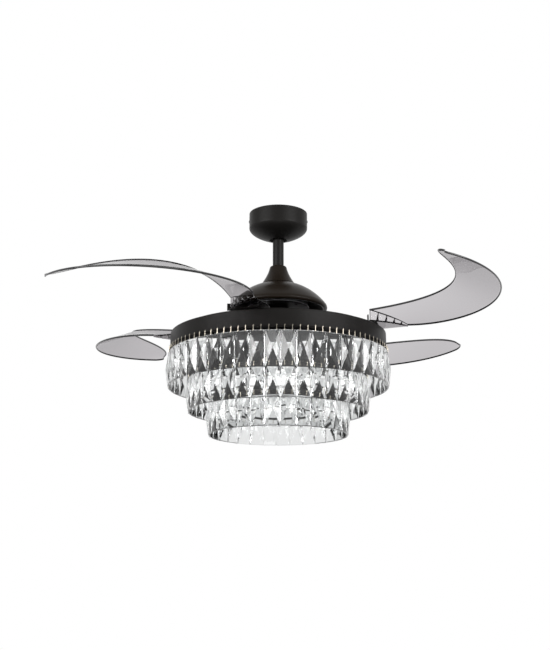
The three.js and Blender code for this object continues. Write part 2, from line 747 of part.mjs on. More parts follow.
function blade() {
  const skin = slab(18, 2, bladePlace, bladeLift, (t, s) => bladeLift(t, s) - BLADE_T);
  return skin.add(bladeRoot());
}

function bladeBracket() {
  const sector = [];
  const first = -FOLD_DEG - TOOTH_DEG / 2;
  for (let i = 0; i < SECTOR_TEETH; i++) sector.push(...tooth(SECTOR_R, first + i * TOOTH_DEG));
  const last = first + (SECTOR_TEETH - 1) * TOOTH_DEG;
  const back = arc(0, 0, ARM_R - 3, last + TOOTH_DEG, 360 + first - TOOTH_DEG, 8);
  const hole = arc(0, 0, PIN_R + RUN, 0, 315, 7);
  const gear = plate([...sector, ...back], gearLow, gearLow + GEAR_T, [hole]);
  const hub = tube(PIN_R + RUN, ARM_R - 3, gearLow, armLow + ARM_T, 8);
  const lugX = ROOT_CORNER.x + 1.5;
  const lugY = ROOT_CORNER.y - LUG.y / 2 - 2;
  const end = { x: lugX + LUG.x / 2, y: lugY - LUG.y / 2 };
  const outline = [
    ...arc(0, 0, ARM_R, 75, 262, 8),
    new THREE.Vector2(end.x - LUG.x, end.y),
    new THREE.Vector2(end.x, end.y),
    new THREE.Vector2(end.x, end.y + LUG.y),
    new THREE.Vector2(lugX - 8, ROOT_CORNER.y + 18),
  ];
  const arm = plate(outline, armLow, armLow + ARM_T, [hole]);
  const lug = block(LUG, lugX, lugY, armLow);
  return gear.add(hub).add(arm).add(lug);
}

// ---- drum and light ----
// Rolled band with a lip along its lower edge and a ledge that the plate lies on.
function drumBand() {
  const wall = DRUM_R - SHEET;
  const ledgeTop = drumTop - SHEET - GAP;
  return turned([
    [wall, drumTop],
    [DRUM_R - DRUM_EDGE, drumTop],
    [DRUM_R, drumTop - DRUM_EDGE],
    [DRUM_R, lipLow],
    [DRUM_R - DRUM_LIP, lipLow],
    [DRUM_R - DRUM_LIP, lipLow + SHEET],
    [wall, lipLow + SHEET],
    [wall, ledgeTop - SHEET],
    [wall - DRUM_LEDGE, ledgeTop - SHEET],
    [wall - DRUM_LEDGE, ledgeTop],
    [wall, ledgeTop],
  ], 48);
}

// Round plate inside the band, with the welded studs that carry the two lower tiers.
function drumPlate() {
  let solid = tube(shaftHoleR, DRUM_R - SHEET - GAP, drumTop - SHEET, drumTop, 48);
  for (const i of [1, 2])
    for (let k = 0; k < STUDS; k++) {
      const deg = (360 / STUDS) * (k + i / 2);
      const at = arc(0, 0, tierRadius(i) + HOOK_R + RING_EDGE - RING_W / 2, deg, deg, 1)[0];
      const reach = [tierRingTop(i) + GAP, drumTop - SHEET / 2];
      solid = solid.add(bar(HANGER_R, ...reach, { x: at.x, y: at.y, sides: 6 }));
    }
  return solid;
}

const trayLow = trayTop - TRAY_H;
const ledgeLow = trayLow + BOARD_T + 2 * GAP;

function ledTray() {
  const r = TRAY_R;
  return turned([
    [shaftHoleR, trayTop],
    [r, trayTop],
    [r, trayLow],
    [r - SHEET, trayLow],
    [r - SHEET, ledgeLow],
    [r - 8, ledgeLow],
    [r - 8, ledgeLow + SHEET],
    [r - SHEET, ledgeLow + SHEET],
    [r - SHEET, trayTop - SHEET],
    [shaftHoleR, trayTop - SHEET],
  ], 24);
}

function ledDriver() {
  return block(DRIVER, NUT_R + 8 + DRIVER.x / 2, 0, trayTop - SHEET - GAP - DRIVER.z);
}

function ledBoard() {
  return tube(NUT_R + 6, TRAY_R - SHEET - GAP, ledgeLow - GAP - BOARD_T, ledgeLow - GAP, 24);
}

function ledDiffuser() {
  const inner = TRAY_R + GAP;
  const outer = inner + DIFFUSER_T;
  const top = trayLow + 8;
  const steps = 4;
  const bowl = (r, drop) => Array.from({ length: steps + 1 }, (_, i) => {
    const a = (i / steps) * (Math.PI / 2);
    return [r * Math.cos(a), trayLow - 2 - drop * Math.sin(a)];
  });
  return turned([
    [inner, top], [outer, top], ...bowl(outer, DIFFUSER_H), ...bowl(inner, DIFFUSER_H - DIFFUSER_T).reverse(),
  ], 24);
}

const tierRadius = (i) => DRUM_R + TIER_PROUD - i * TIER_STEP;
const tierTurn = (i) => Math.asin(SEAM_X / tierRadius(i)) - Math.PI / 2;
const tierCount = (i) => Math.round((2 * Math.PI * tierRadius(i)) / CRYSTAL_W);
const tierRingTop = (i) => lipLow - GAP - TIER_DROPS[i];
const tierTop = (i) => tierRingTop(i) - RING_T - HOOK_H - GAP;

// Flat ring with its crystals' hook pins.
function hookRing(i) {
  const radius = tierRadius(i);
  const top = tierRingTop(i);
  const outer = radius + HOOK_R + RING_EDGE;
  const ring = tube(outer - RING_W, outer, top - RING_T, top, tierCount(i));
  const count = tierCount(i) * HOOKS[i];
  const pins = [];
  for (let k = 0; k < count; k++) {
    const a = ((k + 0.5) / count) * 2 * Math.PI;
    const geometry = new THREE.CylinderGeometry(HOOK_R, HOOK_R, HOOK_H + RING_T / 2, 3);
    geometry.rotateX(Math.PI / 2).translate(radius - 0.2, 0, top - RING_T / 2 - (HOOK_H + RING_T / 2) / 2);
    pins.push(solidOf(geometry.rotateZ(a)));
  }
  return wasm.Manifold.union([ring, ...pins]).rotate([0, 0, THREE.MathUtils.radToDeg(tierTurn(i))]);
}

// A ring of cross-cut crystals: on each, four facets rise from the edges to the middle.
function crystalTier(i) {
  const count = tierCount(i);
  const radius = tierRadius(i);
  const high = tierTop(i);
  const points = [];
  const faces = [];
  const ringPoint = (r, turn, z) => {
    const a = (turn / count) * 2 * Math.PI;
    points.push(r * Math.cos(a), r * Math.sin(a), z);
  };
  const edge = CRYSTAL_EDGE / 2;
  const crown = CRYSTAL_CROWN / 2;
  for (let k = 0; k < count; k++) {
    for (const z of [high, high - CRYSTAL_H]) {
      ringPoint(radius + edge, k, z);
      ringPoint(radius - edge, k, z);
    }
    ringPoint(radius + crown, k + 0.5, high - CRYSTAL_H / 2);
    ringPoint(radius - crown, k + 0.5, high - CRYSTAL_H / 2);
  }
  for (let k = 0; k < count; k++) {
    const a = k * 6;
    const b = ((k + 1) % count) * 6;
    const [outer, inner] = [a + 4, a + 5];
    const outerLoop = [a, a + 2, b + 2, b];
    const innerLoop = [a + 1, b + 1, b + 3, a + 3];
    for (let j = 0; j < 4; j++) {
      faces.push(outerLoop[j], outerLoop[(j + 1) % 4], outer);
      faces.push(innerLoop[j], innerLoop[(j + 1) % 4], inner);
    }
    faces.push(a, b, b + 1, a, b + 1, a + 1);
    faces.push(a + 2, a + 3, b + 3, a + 2, b + 3, b + 2);
  }
  const geometry = new THREE.BufferGeometry();
  geometry.setAttribute("position", new THREE.Float32BufferAttribute(points, 3));
  geometry.setIndex(faces);
  return solidOf(geometry.rotateZ(tierTurn(i)));
}

// ---- finishes ----
const finish = (color, roughness, metalness, opacity = 1) => new THREE.MeshStandardMaterial({
  color, roughness, metalness, opacity, transparent: opacity < 1, flatShading: true,
});
const blackPaint = finish(0x1c1a18, 0.45, 0.2);
const bronzePaint = finish(0x241f1c, 0.4, 0.3);
const smokePlastic = finish(0x9a979c, 0.15, 0, 0.5);
const crystalGlass = finish(0xe9edea, 0.05, 0, 0.45);
const bareSteel = finish(0xa8a9ab, 0.35, 1);
const castAlloy = finish(0xb4b6b8, 0.5, 0.9);
const copper = finish(0xa8653a, 0.4, 0.8);
const ferrite = finish(0x33353a, 0.6, 0.3);
const opal = finish(0xf4f2ea, 0.5, 0);
const boardWhite = finish(0xe8e8e4, 0.6, 0);
const nylon = finish(0x202020, 0.6, 0);

// ---- assembly ----
const fan = new THREE.Group();
function add(name, solid, material, parent = fan) {
  const mesh = new THREE.Mesh(geometryOf(solid), material);
  mesh.name = name;
  parent.add(mesh);
}

add("hanger_bracket", hangerBracket(), bareSteel);
add("receiver", receiver(), nylon);
add("canopy", canopy(), blackPaint);
add("canopy_screw_right", canopyScrew(1), blackPaint);
add("canopy_screw_left", canopyScrew(-1), blackPaint);
add("hanger_ball", hangerBall(), nylon);
add("ball_pin", crossPin(ballPinHalf, ballPinZ), bareSteel);
add("ball_set_screw", setScrew(BALL_R - 1, ballZ), bareSteel);
add("downrod", downrod(), blackPaint);
add("coupling", coupling(), castAlloy);
add("coupling_pin", crossPin(COUPLING_R - 0.5, couplingPinZ), bareSteel);
add("coupling_set_screw", setScrew(COUPLING_R - 0.5, couplingPinZ), bareSteel);
add("coupling_cover", couplingCover(), bronzePaint);
add("motor_cover", motorCover(), bronzePaint);
add("cover_nut", hexNut(nutTop, NUT_H), bareSteel);
add("motor_shaft", motorShaft(), bareSteel);
add("upper_bearing", bearing(upperBearingTop), bareSteel);
add("lower_bearing", bearing(lowerBearingTop), bareSteel);
add("stator_core", statorCore(), ferrite);
add("stator_winding", statorWinding(), copper);
add("rotor_housing", rotorHousing(), castAlloy);
add("magnet_ring", magnetRing(), ferrite);
add("rotor_base", rotorBase(), blackPaint);
add("blade_carrier", bladeCarrier(), blackPaint);
add("sync_ring", syncRing(), bareSteel);

for (let k = 0; k < BLADES; k++) {
  const pivot = new THREE.Group();
  const deg = pivotDeg(k);
  pivot.position.set(pivotR * Math.cos(rad(deg)), pivotR * Math.sin(rad(deg)), 0);
  pivot.rotation.z = rad(deg + 180 + FOLD_DEG);
  fan.add(pivot);
  add(`pivot_pin_${k + 1}`, pivotPin(), bareSteel, pivot);
  add(`return_spring_${k + 1}`, returnSpring(), bareSteel, pivot);
  add(`blade_bracket_${k + 1}`, bladeBracket(), blackPaint, pivot);
  add(`blade_${k + 1}`, blade(), smokePlastic, pivot);
  const guide = new THREE.Group();
  const studDeg = rad(deg + STUD_DEG);
  guide.position.set(studRingR * Math.cos(studDeg), studRingR * Math.sin(studDeg), 0);
  fan.add(guide);
  add(`guide_stud_${k + 1}`, guideStud(), nylon, guide);
}

add("drum_band", drumBand(), blackPaint);
add("drum_plate", drumPlate(), blackPaint);
add("led_tray", ledTray(), castAlloy);
add("light_nut", hexNut(lightNutTop, lightNutH), bareSteel);
add("led_driver", ledDriver(), boardWhite);
add("led_board", ledBoard(), boardWhite);
add("led_diffuser", ledDiffuser(), opal);
["top", "middle", "lower"].forEach((name, i) => {
  add(`${name}_hook_ring`, hookRing(i), blackPaint);
  add(`${name}_crystals`, crystalTier(i), crystalGlass);
});

export default fan;
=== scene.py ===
# %% [markdown]
# # A ceiling fan with folding blades and a crystal light
# The fan hangs on a pipe from the ceiling. Four smoked acrylic blades stand out above a flat
# black drum, and three tiers of cut crystals hang under it round a light. This notebook dresses
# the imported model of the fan, one kind of piece at a time. Everything is in metres, with the
# origin on the ceiling plane and +Z up.

import json
import math

import bmesh
import bpy
import numpy as np
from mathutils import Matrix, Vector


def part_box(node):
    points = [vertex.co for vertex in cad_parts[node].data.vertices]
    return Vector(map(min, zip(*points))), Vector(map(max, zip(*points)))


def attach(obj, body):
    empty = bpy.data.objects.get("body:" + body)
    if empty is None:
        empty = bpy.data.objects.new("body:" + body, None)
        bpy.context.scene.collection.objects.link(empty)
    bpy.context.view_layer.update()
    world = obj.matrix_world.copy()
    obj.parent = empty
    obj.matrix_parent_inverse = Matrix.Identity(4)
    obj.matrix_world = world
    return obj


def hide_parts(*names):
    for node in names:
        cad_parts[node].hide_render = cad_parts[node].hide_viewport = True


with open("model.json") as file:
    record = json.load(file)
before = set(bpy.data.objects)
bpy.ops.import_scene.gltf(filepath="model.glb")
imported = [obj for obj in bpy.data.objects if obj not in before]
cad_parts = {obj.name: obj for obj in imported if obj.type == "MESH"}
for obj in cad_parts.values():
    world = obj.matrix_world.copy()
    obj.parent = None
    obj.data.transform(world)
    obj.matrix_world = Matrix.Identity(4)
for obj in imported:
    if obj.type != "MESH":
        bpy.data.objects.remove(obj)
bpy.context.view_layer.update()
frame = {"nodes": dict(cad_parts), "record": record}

# %% [markdown]
# ## The camera
# The photograph was taken from below, with the camera tipped up a little. Its place was worked out
# from the drum's ellipse and the known width of the drum, so the render and the photograph can be
# laid over each other. It comes first because every later choice is judged through it.

# %% Camera
CAMERA_AT = (0.0, -2.5608, -0.9344)
CAMERA_PITCH = 14.15  # degrees above the horizon
CAMERA_LENS, CAMERA_SENSOR = 59.26, 36  # millimetres; the sensor's is its long side
CAMERA_SHIFT = -0.0050  # brings the axis to where the photograph has it

camera_data = bpy.data.cameras.new("camera")
camera_data.lens = CAMERA_LENS
camera_data.sensor_width = CAMERA_SENSOR
camera_data.shift_x = CAMERA_SHIFT
camera = bpy.data.objects.new("camera", camera_data)
camera.location = CAMERA_AT
camera.rotation_euler = (math.radians(90 + CAMERA_PITCH), 0, 0)
bpy.context.scene.collection.objects.link(camera)
bpy.context.scene.camera = camera
print("camera at", CAMERA_AT)

# %% [markdown]
# ## Surfaces from formulas
# Most pieces of a fan are turned, pressed or swept, so each is a function of two parameters:
# one runs along a profile, the other carries it round an axis or along a path. Numpy works the
# whole grid out at once and one helper turns any such grid into a closed mesh.


# %% Grid to mesh
MERGE_DIST, SLIVER_DIST, SHARP_DEG = 1e-6, 1e-7, 32


def surface(name, grids, wrap_path=True, cap_ends=False):
    """One mesh from grids of points, each (path, profile, xyz). Cell (i, j) becomes one quad
    between rows i and i + 1; the profile always closes on itself, and the path closes too
    with wrap_path, or gets a flat face at each end with cap_ends."""
    points, faces, start = [], [], 0
    for grid in grids:
        rows, cols = grid.shape[:2]
        index = np.arange(start, start + rows * cols).reshape(rows, cols)
        looped = np.hstack([index, index[:, :1]])
        if wrap_path:
            looped = np.vstack([looped, looped[:1]])
        cells = np.stack([looped[:-1, :-1], looped[1:, :-1], looped[1:, 1:], looped[:-1, 1:]], -1)
        faces += cells.reshape(-1, 4).tolist()
        if cap_ends:
            faces += [index[0].tolist(), index[-1][::-1].tolist()]
        points.append(grid.reshape(-1, 3))
        start += rows * cols
    mesh = bpy.data.meshes.new(name)
    mesh.from_pydata(np.concatenate(points).tolist(), [], faces)
    close_up(mesh)
    piece = bpy.data.objects.new(name, mesh)
    bpy.context.scene.collection.objects.link(piece)
    return piece


def close_up(mesh):
    """Merges points that meet, as at a pole, and turns every face outwards."""
    work = bmesh.new()
    work.from_mesh(mesh)
    bmesh.ops.remove_doubles(work, verts=work.verts, dist=MERGE_DIST)
    bmesh.ops.dissolve_degenerate(work, edges=work.edges, dist=SLIVER_DIST)
    bmesh.ops.recalc_face_normals(work, faces=work.faces)
    work.to_mesh(mesh)
    work.free()
    mesh.shade_smooth()
    mesh.set_sharp_from_angle(angle=math.radians(SHARP_DEG))


# %% Turned shapes
EDGE_SHARE = 0.45  # the most of an edge that one rounded corner takes


def softened(corners, radius, steps=5):
    """A closed outline with every corner rounded: each corner gives way to a quadratic curve
    that leaves its two edges at most radius away from it."""
    corner = np.asarray(corners, float)
    before, after = np.roll(corner, 1, axis=0), np.roll(corner, -1, axis=0)
    reach = np.broadcast_to(radius, len(corner))[:, None]

    def edge_point(other):
        run = other - corner
        length = np.linalg.norm(run, axis=1, keepdims=True)
        return corner + run / length * np.minimum(reach, length * EDGE_SHARE)

    t = np.linspace(0, 1, steps)[None, :, None]
    a, b = edge_point(before)[:, None], edge_point(after)[:, None]
    return ((1 - t) ** 2 * a + 2 * t * (1 - t) * corner[:, None] + t**2 * b).reshape(-1, 2)


def round_axis(profile, sides=128, at=(0, 0)):
    """Grid of a profile of (radius, height) points carried round the Z axis through at."""
    angle = np.linspace(0, 2 * np.pi, sides, endpoint=False)[:, None]
    radius, height = np.asarray(profile, float).T
    x, y = at[0] + radius * np.cos(angle), at[1] + radius * np.sin(angle)
    return np.stack([x, y, np.broadcast_to(height, x.shape)], -1)


def bezier(values, t):
    """A quadratic or cubic pull curve from the first of the values to the last."""
    values = [np.asarray(v, float) for v in values]
    while len(values) > 1:
        values = [a * (1 - t) + b * t for a, b in zip(values, values[1:])]
    return values[0]


def walled(line, wall):
    """Closed profile from an open (radius, height) line: the line and, one wall to its right
    as it runs, the same line back again."""
    line = np.asarray(line, float)
    along = np.gradient(line, axis=0)
    along /= np.linalg.norm(along, axis=1, keepdims=True)
    inner = line + np.stack([along[:, 1], -along[:, 0]], -1) * wall
    return np.vstack([line, inner[::-1]])


def along_path(path, radius, sides=10, up=(0, 0, 1)):
    """Grid of a round section carried along a path of points, square to it all the way."""
    path = np.asarray(path, float)
    run = np.gradient(path, axis=0)
    run /= np.linalg.norm(run, axis=1, keepdims=True)
    side = np.cross(run, np.asarray(up, float))
    side /= np.linalg.norm(side, axis=1, keepdims=True)
    top = np.cross(side, run)
    angle = np.linspace(0, 2 * np.pi, sides, endpoint=False)
    section = side[:, None] * np.cos(angle)[:, None] + top[:, None] * np.sin(angle)[:, None]
    return path[:, None] + np.reshape(radius, (-1, 1, 1)) * section


# %% [markdown]
# ## Finishes
# Real finishes are never one flat colour. A shader node group is built once for each effect, and
# every material that shows it places the group with its own values: the orange peel of paint, the
# fine lines of drawn steel, and the faint bloom that handled plastic carries.


# %% Node group helper
def node_group(name, inputs, outputs):
    """An empty shader group with named sockets, and its inner input and output nodes."""
    group = bpy.data.node_groups.new(name, "ShaderNodeTree")
    for label, kind, default in inputs:
        socket = group.interface.new_socket(label, in_out="INPUT", socket_type=f"NodeSocket{kind}")
        socket.default_value = default
    for label, kind in outputs:
        group.interface.new_socket(label, in_out="OUTPUT", socket_type=f"NodeSocket{kind}")
    return group, group.nodes.new("NodeGroupInput"), group.nodes.new("NodeGroupOutput")


def math_node(tree, operation, a, b, c=None):
    """A Math node whose inputs are sockets or plain numbers."""
    node = tree.nodes.new("ShaderNodeMath")
    node.operation = operation
    for slot, value in enumerate(v for v in (a, b, c) if v is not None):
        if isinstance(value, (int, float)):
            node.inputs[slot].default_value = value
        else:
            tree.links.new(value, node.inputs[slot])
    return node.outputs[0]


def noise(tree, scale, detail, vector):
    """Height of a Noise texture at a socket or a plain scale."""
    node = tree.nodes.new("ShaderNodeTexNoise")
    node.inputs["Detail"].default_value = detail
    if isinstance(scale, (int, float)):
        node.inputs["Scale"].default_value = scale
    else:
        tree.links.new(scale, node.inputs["Scale"])
    tree.links.new(vector, node.inputs["Vector"])
    return node.outputs["Fac"]


def tinted(tree, colour, amount):
    """The colour, lighter or darker by an amount that a socket gives round 1."""
    node = tree.nodes.new("ShaderNodeVectorMath")
    node.operation = "SCALE"
    tree.links.new(colour, node.inputs[0])
    tree.links.new(amount, node.inputs["Scale"])
    return node.outputs[0]


def bumped(tree, height, strength, distance, out_socket):
    """Links to a socket the normal of a surface that a height lifts by up to a distance."""
    bump = tree.nodes.new("ShaderNodeBump")
    bump.inputs["Distance"].default_value = distance
    tree.links.new(strength, bump.inputs["Strength"])
    tree.links.new(height, bump.inputs["Height"])
    tree.links.new(bump.outputs["Normal"], out_socket)


def object_place(tree):
    """Coordinates on the piece itself, so that a pattern moves with it."""
    return tree.nodes.new("ShaderNodeTexCoord").outputs["Object"]


# %% Paint grain
PEEL_HEIGHT, BROAD_SCALE = 0.0004, 9.0


def paint_grain():
    """Orange peel: a fine noise lifts the surface and a broad one shifts colour and gloss."""
    tree, inside, out = node_group(
        "paint_grain",
        [("Color", "Color", (0.1, 0.1, 0.1, 1)), ("Roughness", "Float", 0.5),
         ("Grain Scale", "Float", 700.0), ("Grain Height", "Float", 0.2),
         ("Unevenness", "Float", 0.1)],
        [("Color", "Color"), ("Roughness", "Float"), ("Normal", "Vector")])
    spot = object_place(tree)
    broad = math_node(tree, "SUBTRACT", noise(tree, BROAD_SCALE, 3.0, spot), 0.5)
    fine = noise(tree, inside.outputs["Grain Scale"], 2.0, spot)
    shift = math_node(tree, "MULTIPLY", broad, inside.outputs["Unevenness"])
    speck = math_node(tree, "MULTIPLY_ADD", fine, 0.12, 0.94)
    shade = math_node(tree, "MULTIPLY_ADD", shift, 2.0, speck)
    gloss = math_node(tree, "ADD", inside.outputs["Roughness"], shift)
    tree.links.new(tinted(tree, inside.outputs["Color"], shade), out.inputs["Color"])
    tree.links.new(gloss, out.inputs["Roughness"])
    bumped(tree, fine, inside.outputs["Grain Height"], PEEL_HEIGHT, out.inputs["Normal"])
    return tree


# %% Drawn metal
LINE_HEIGHT, LINE_SCALE = 0.0002, (6.0, 6.0, 900.0)


def drawn_lines():
    """Machining lines: a noise squeezed hard along Z, so that it streaks round a turned part."""
    tree, inside, out = node_group(
        "drawn_lines",
        [("Color", "Color", (0.6, 0.6, 0.6, 1)), ("Roughness", "Float", 0.3),
         ("Line Depth", "Float", 0.15)],
        [("Color", "Color"), ("Roughness", "Float"), ("Normal", "Vector")])
    mapping = tree.nodes.new("ShaderNodeMapping")
    mapping.inputs["Scale"].default_value = LINE_SCALE
    tree.links.new(object_place(tree), mapping.inputs["Vector"])
    line = noise(tree, 1.0, 4.0, mapping.outputs["Vector"])
    shade = math_node(tree, "MULTIPLY_ADD", line, 0.3, 0.85)
    centred = math_node(tree, "SUBTRACT", line, 0.5)
    gloss = math_node(tree, "MULTIPLY_ADD", centred, 0.25, inside.outputs["Roughness"])
    tree.links.new(tinted(tree, inside.outputs["Color"], shade), out.inputs["Color"])
    tree.links.new(gloss, out.inputs["Roughness"])
    bumped(tree, line, inside.outputs["Line Depth"], LINE_HEIGHT, out.inputs["Normal"])
    return tree


# %% Handling bloom
PATCH_SCALE, PATCH_PEAK = 14.0, 3.0


def bloom():
    """Fingers and dust leave soft patches on a polished face: a broad noise, kept only at its
    peaks, raises the roughness there and greys the colour a little."""
    tree, inside, out = node_group(
        "bloom",
        [("Color", "Color", (0.8, 0.8, 0.8, 1)), ("Roughness", "Float", 0.05),
         ("Patches", "Float", 0.1)],
        [("Color", "Color"), ("Roughness", "Float")])
    height = noise(tree, PATCH_SCALE, 5.0, object_place(tree))
    patch = math_node(tree, "POWER", height, PATCH_PEAK)
    gloss = math_node(tree, "MULTIPLY_ADD", patch, inside.outputs["Patches"],
                      inside.outputs["Roughness"])
    dim = math_node(tree, "MULTIPLY", patch, inside.outputs["Patches"])
    shade = math_node(tree, "SUBTRACT", 1.0, dim)
    tree.links.new(gloss, out.inputs["Roughness"])
    tree.links.new(tinted(tree, inside.outputs["Color"], shade), out.inputs["Color"])
    return tree


GRAIN, LINES, BLOOM = paint_grain(), drawn_lines(), bloom()


# %% Materials from the groups
def finish(name, group, values, **plain):
    """A Principled material whose colour, roughness and normal come from a group, with the
    rest set as plain values on the shader."""
    material = bpy.data.materials.new(name)
    material.use_nodes = True
    tree = material.node_tree
    shader = tree.nodes["Principled BSDF"]
    effect = tree.nodes.new("ShaderNodeGroup")
    effect.node_tree = group
    for label, value in values.items():
        effect.inputs[label].default_value = value
    targets = {"Color": "Base Color", "Roughness": "Roughness", "Normal": "Normal"}
    for socket in effect.outputs:
        tree.links.new(socket, shader.inputs[targets[socket.name]])
    for label, value in plain.items():
        shader.inputs[label.replace("_", " ")].default_value = value
    return material


def clear_to_lamps(material, tint):
    """Lets lamplight through a clear piece, tinted, where the renderer would draw a full shadow."""
    tree = material.node_tree
    out, shader = tree.nodes["Material Output"], tree.nodes["Principled BSDF"]
    film = tree.nodes.new("ShaderNodeBsdfTransparent")
    film.inputs["Color"].default_value = tint
    mix = tree.nodes.new("ShaderNodeMixShader")
    tree.links.new(tree.nodes.new("ShaderNodeLightPath").outputs["Is Shadow Ray"], mix.inputs[0])
    tree.links.new(shader.outputs[0], mix.inputs[1])
    tree.links.new(film.outputs[0], mix.inputs[2])
    tree.links.new(mix.outputs[0], out.inputs["Surface"])
    return material


def grey(value, tone=(1.0, 1.0, 1.0)):
    """A colour of one brightness, leaning by tone."""
    return tuple(value * t for t in tone) + (1.0,)


# %% The fan's finishes
WARM, COOL = (1.08, 1.0, 0.94), (0.98, 0.97, 1.02)
black_paint = finish("black_paint", GRAIN, {
    "Color": grey(0.009, WARM), "Roughness": 0.38, "Grain Scale": 900.0, "Grain Height": 0.25,
    "Unevenness": 0.10}, Specular_IOR_Level=0.08)
bronze_paint = finish("bronze_paint", GRAIN, {
    "Color": grey(0.009, (1.35, 1.0, 0.72)), "Roughness": 0.30, "Grain Scale": 700.0,
    "Grain Height": 0.10, "Unevenness": 0.06}, Specular_IOR_Level=0.08)
black_nylon = finish("black_nylon", GRAIN, {
    "Color": grey(0.012), "Roughness": 0.5, "Grain Scale": 1200.0, "Grain Height": 0.15,
    "Unevenness": 0.05}, Specular_IOR_Level=0.25)
white_board = finish("white_board", GRAIN, {
    "Color": grey(0.75, (1.0, 1.0, 0.97)), "Roughness": 0.55, "Grain Scale": 500.0,
    "Grain Height": 0.1, "Unevenness": 0.05})
dull_iron = finish("dull_iron", GRAIN, {
    "Color": grey(0.05), "Roughness": 0.55, "Grain Scale": 300.0, "Grain Height": 0.3,
    "Unevenness": 0.15}, Metallic=0.6)
zinc_steel = finish("zinc_steel", LINES, {
    "Color": grey(0.56), "Roughness": 0.28, "Line Depth": 0.1}, Metallic=1.0)
black_steel = finish("black_steel", LINES, {
    "Color": grey(0.045), "Roughness": 0.34, "Line Depth": 0.1}, Metallic=1.0)
plain_alloy = finish("plain_alloy", LINES, {
    "Color": grey(0.6, COOL), "Roughness": 0.38, "Line Depth": 0.2}, Metallic=1.0)
hook_brass = finish("hook_brass", LINES, {
    "Color": (0.62, 0.57, 0.47, 1.0), "Roughness": 0.3, "Line Depth": 0.05}, Metallic=1.0)
copper_wire = finish("copper_wire", LINES, {
    "Color": (0.55, 0.2, 0.09, 1.0), "Roughness": 0.3, "Line Depth": 0.3}, Metallic=1.0)
matt_black = finish("matt_black", GRAIN, {
    "Color": grey(0.008, WARM), "Roughness": 0.75, "Grain Scale": 900.0, "Grain Height": 0.25,
    "Unevenness": 0.05}, Specular_IOR_Level=0.05)
# near-black painted shade for the light's bowl, standing for the dark inside of the fan; the bloom
# patches are real handling marks
bowl_painted_shade = finish("bowl_painted_shade", BLOOM, {
    "Color": grey(0.02), "Roughness": 0.6, "Patches": 0.2}, Specular_IOR_Level=0.1)

SHEET_IOR = 1.06  # kept low, so that a sheet seen along its face stays dark as the real one does
smoke = clear_to_lamps(finish("smoke", BLOOM, {
    "Color": grey(0.93, (1.0, 0.98, 0.995)), "Roughness": 0.0, "Patches": 0.01},
    Transmission_Weight=1.0, IOR=SHEET_IOR), grey(0.6))
# near-black painted shade: the dark that light gives the edges and ribs of a tinted clear sheet
painted_edge_shade = finish("painted_edge_shade", BLOOM, {
    "Color": grey(0.012, COOL), "Roughness": 0.08, "Patches": 0.2}, IOR=1.49)
crystal = clear_to_lamps(finish("crystal", BLOOM, {
    "Color": grey(0.83, (0.99, 1.0, 1.0)), "Roughness": 0.0, "Patches": 0.01},
    Transmission_Weight=1.0, IOR=1.55), grey(0.9))

SMOKE_DENSITY = 140.0  # per metre: how fast the smoked plastic darkens with depth
haze = smoke.node_tree.nodes.new("ShaderNodeVolumeAbsorption")
haze.inputs["Color"].default_value = (0.05, 0.03, 0.05, 1.0)
haze.inputs["Density"].default_value = SMOKE_DENSITY
smoke_out = smoke.node_tree.nodes["Material Output"]
smoke.node_tree.links.new(haze.outputs[0], smoke_out.inputs["Volume"])
print("materials", len(bpy.data.materials))


# %% Placing a piece
def place(piece, body, material, slot, *nodes):
    """Gives a new piece its finish, its moving body and the nodes that it stands for."""
    for each in material if isinstance(material, list) else [material]:
        piece.data.materials.append(each)
    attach(piece, body)
    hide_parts(*nodes)
    print(piece.name, "with", len(piece.data.polygons), "faces on", body)


# %% [markdown]
# ## Ceiling canopy
# A spun steel cup that hides the bracket. Its side is straight, then bends softly into a shallow
# bowl that ends in a hole for the rod. A lathe is what made it, so a profile is turned here too,
# with a wall's thickness, which shows at the hole and from above.

# %% Canopy
SHEET = 0.0016  # pressed steel
low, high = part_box("canopy")
CANOPY_R, CANOPY_TOP, CANOPY_LOW = high.x, high.z, low.z
CANOPY_SIDE, CANOPY_HOLE = 0.038, 0.0214
CANOPY_BEND = CANOPY_TOP - CANOPY_SIDE
BEND_IN, BEND_DROP = 0.0004, 0.0095  # first pull point, from the side and from the bend
BOWL_SHARE, BOWL_RISE = 0.7, 0.0085  # second, as a share of the radius and over the hole

t = np.linspace(0, 1, 36)
bowl = np.stack([
    bezier([CANOPY_R, CANOPY_R - BEND_IN, CANOPY_R * BOWL_SHARE, CANOPY_HOLE], t),
    bezier([CANOPY_BEND, CANOPY_BEND - BEND_DROP, CANOPY_LOW + BOWL_RISE, CANOPY_LOW], t)], -1)
drop = np.linspace(CANOPY_TOP, CANOPY_BEND, 12, endpoint=False)
side = np.stack([np.full_like(drop, CANOPY_R), drop], -1)
cup = walled(np.vstack([side, bowl]), -SHEET)
place(surface("canopy_cup", [round_axis(cup)]), "ceiling_mount", black_paint, "black_paint",
      "canopy")

# %% [markdown]
# ## Canopy screws
# Two round-head screws stand out of the canopy's sides. Each is a turned dome and shank, laid
# along the X axis.


# %% Canopy screws
def on_x_axis(grid, centre, facing):
    """Turns a grid made round Z so that it stands on the X axis and looks to facing, +1 or -1."""
    x, y, z = np.moveaxis(grid, -1, 0)
    return np.stack([centre[0] + facing * z, centre[1] + y * facing, centre[2] + x], -1)


SCREW_Z, SCREW_ROUND = -0.020, 0.0006
# radius and height of each corner, from the head's crown
SCREW_HEAD = [(0, -0.0029), (0.0042, -0.0029), (0.0040, -0.0012), (0.0026, -0.0002), (0, 0)]
SCREW_SHANK = [(0, -0.013), (0.0019, -0.013), (0.0019, -0.0025), (0, -0.0025)]

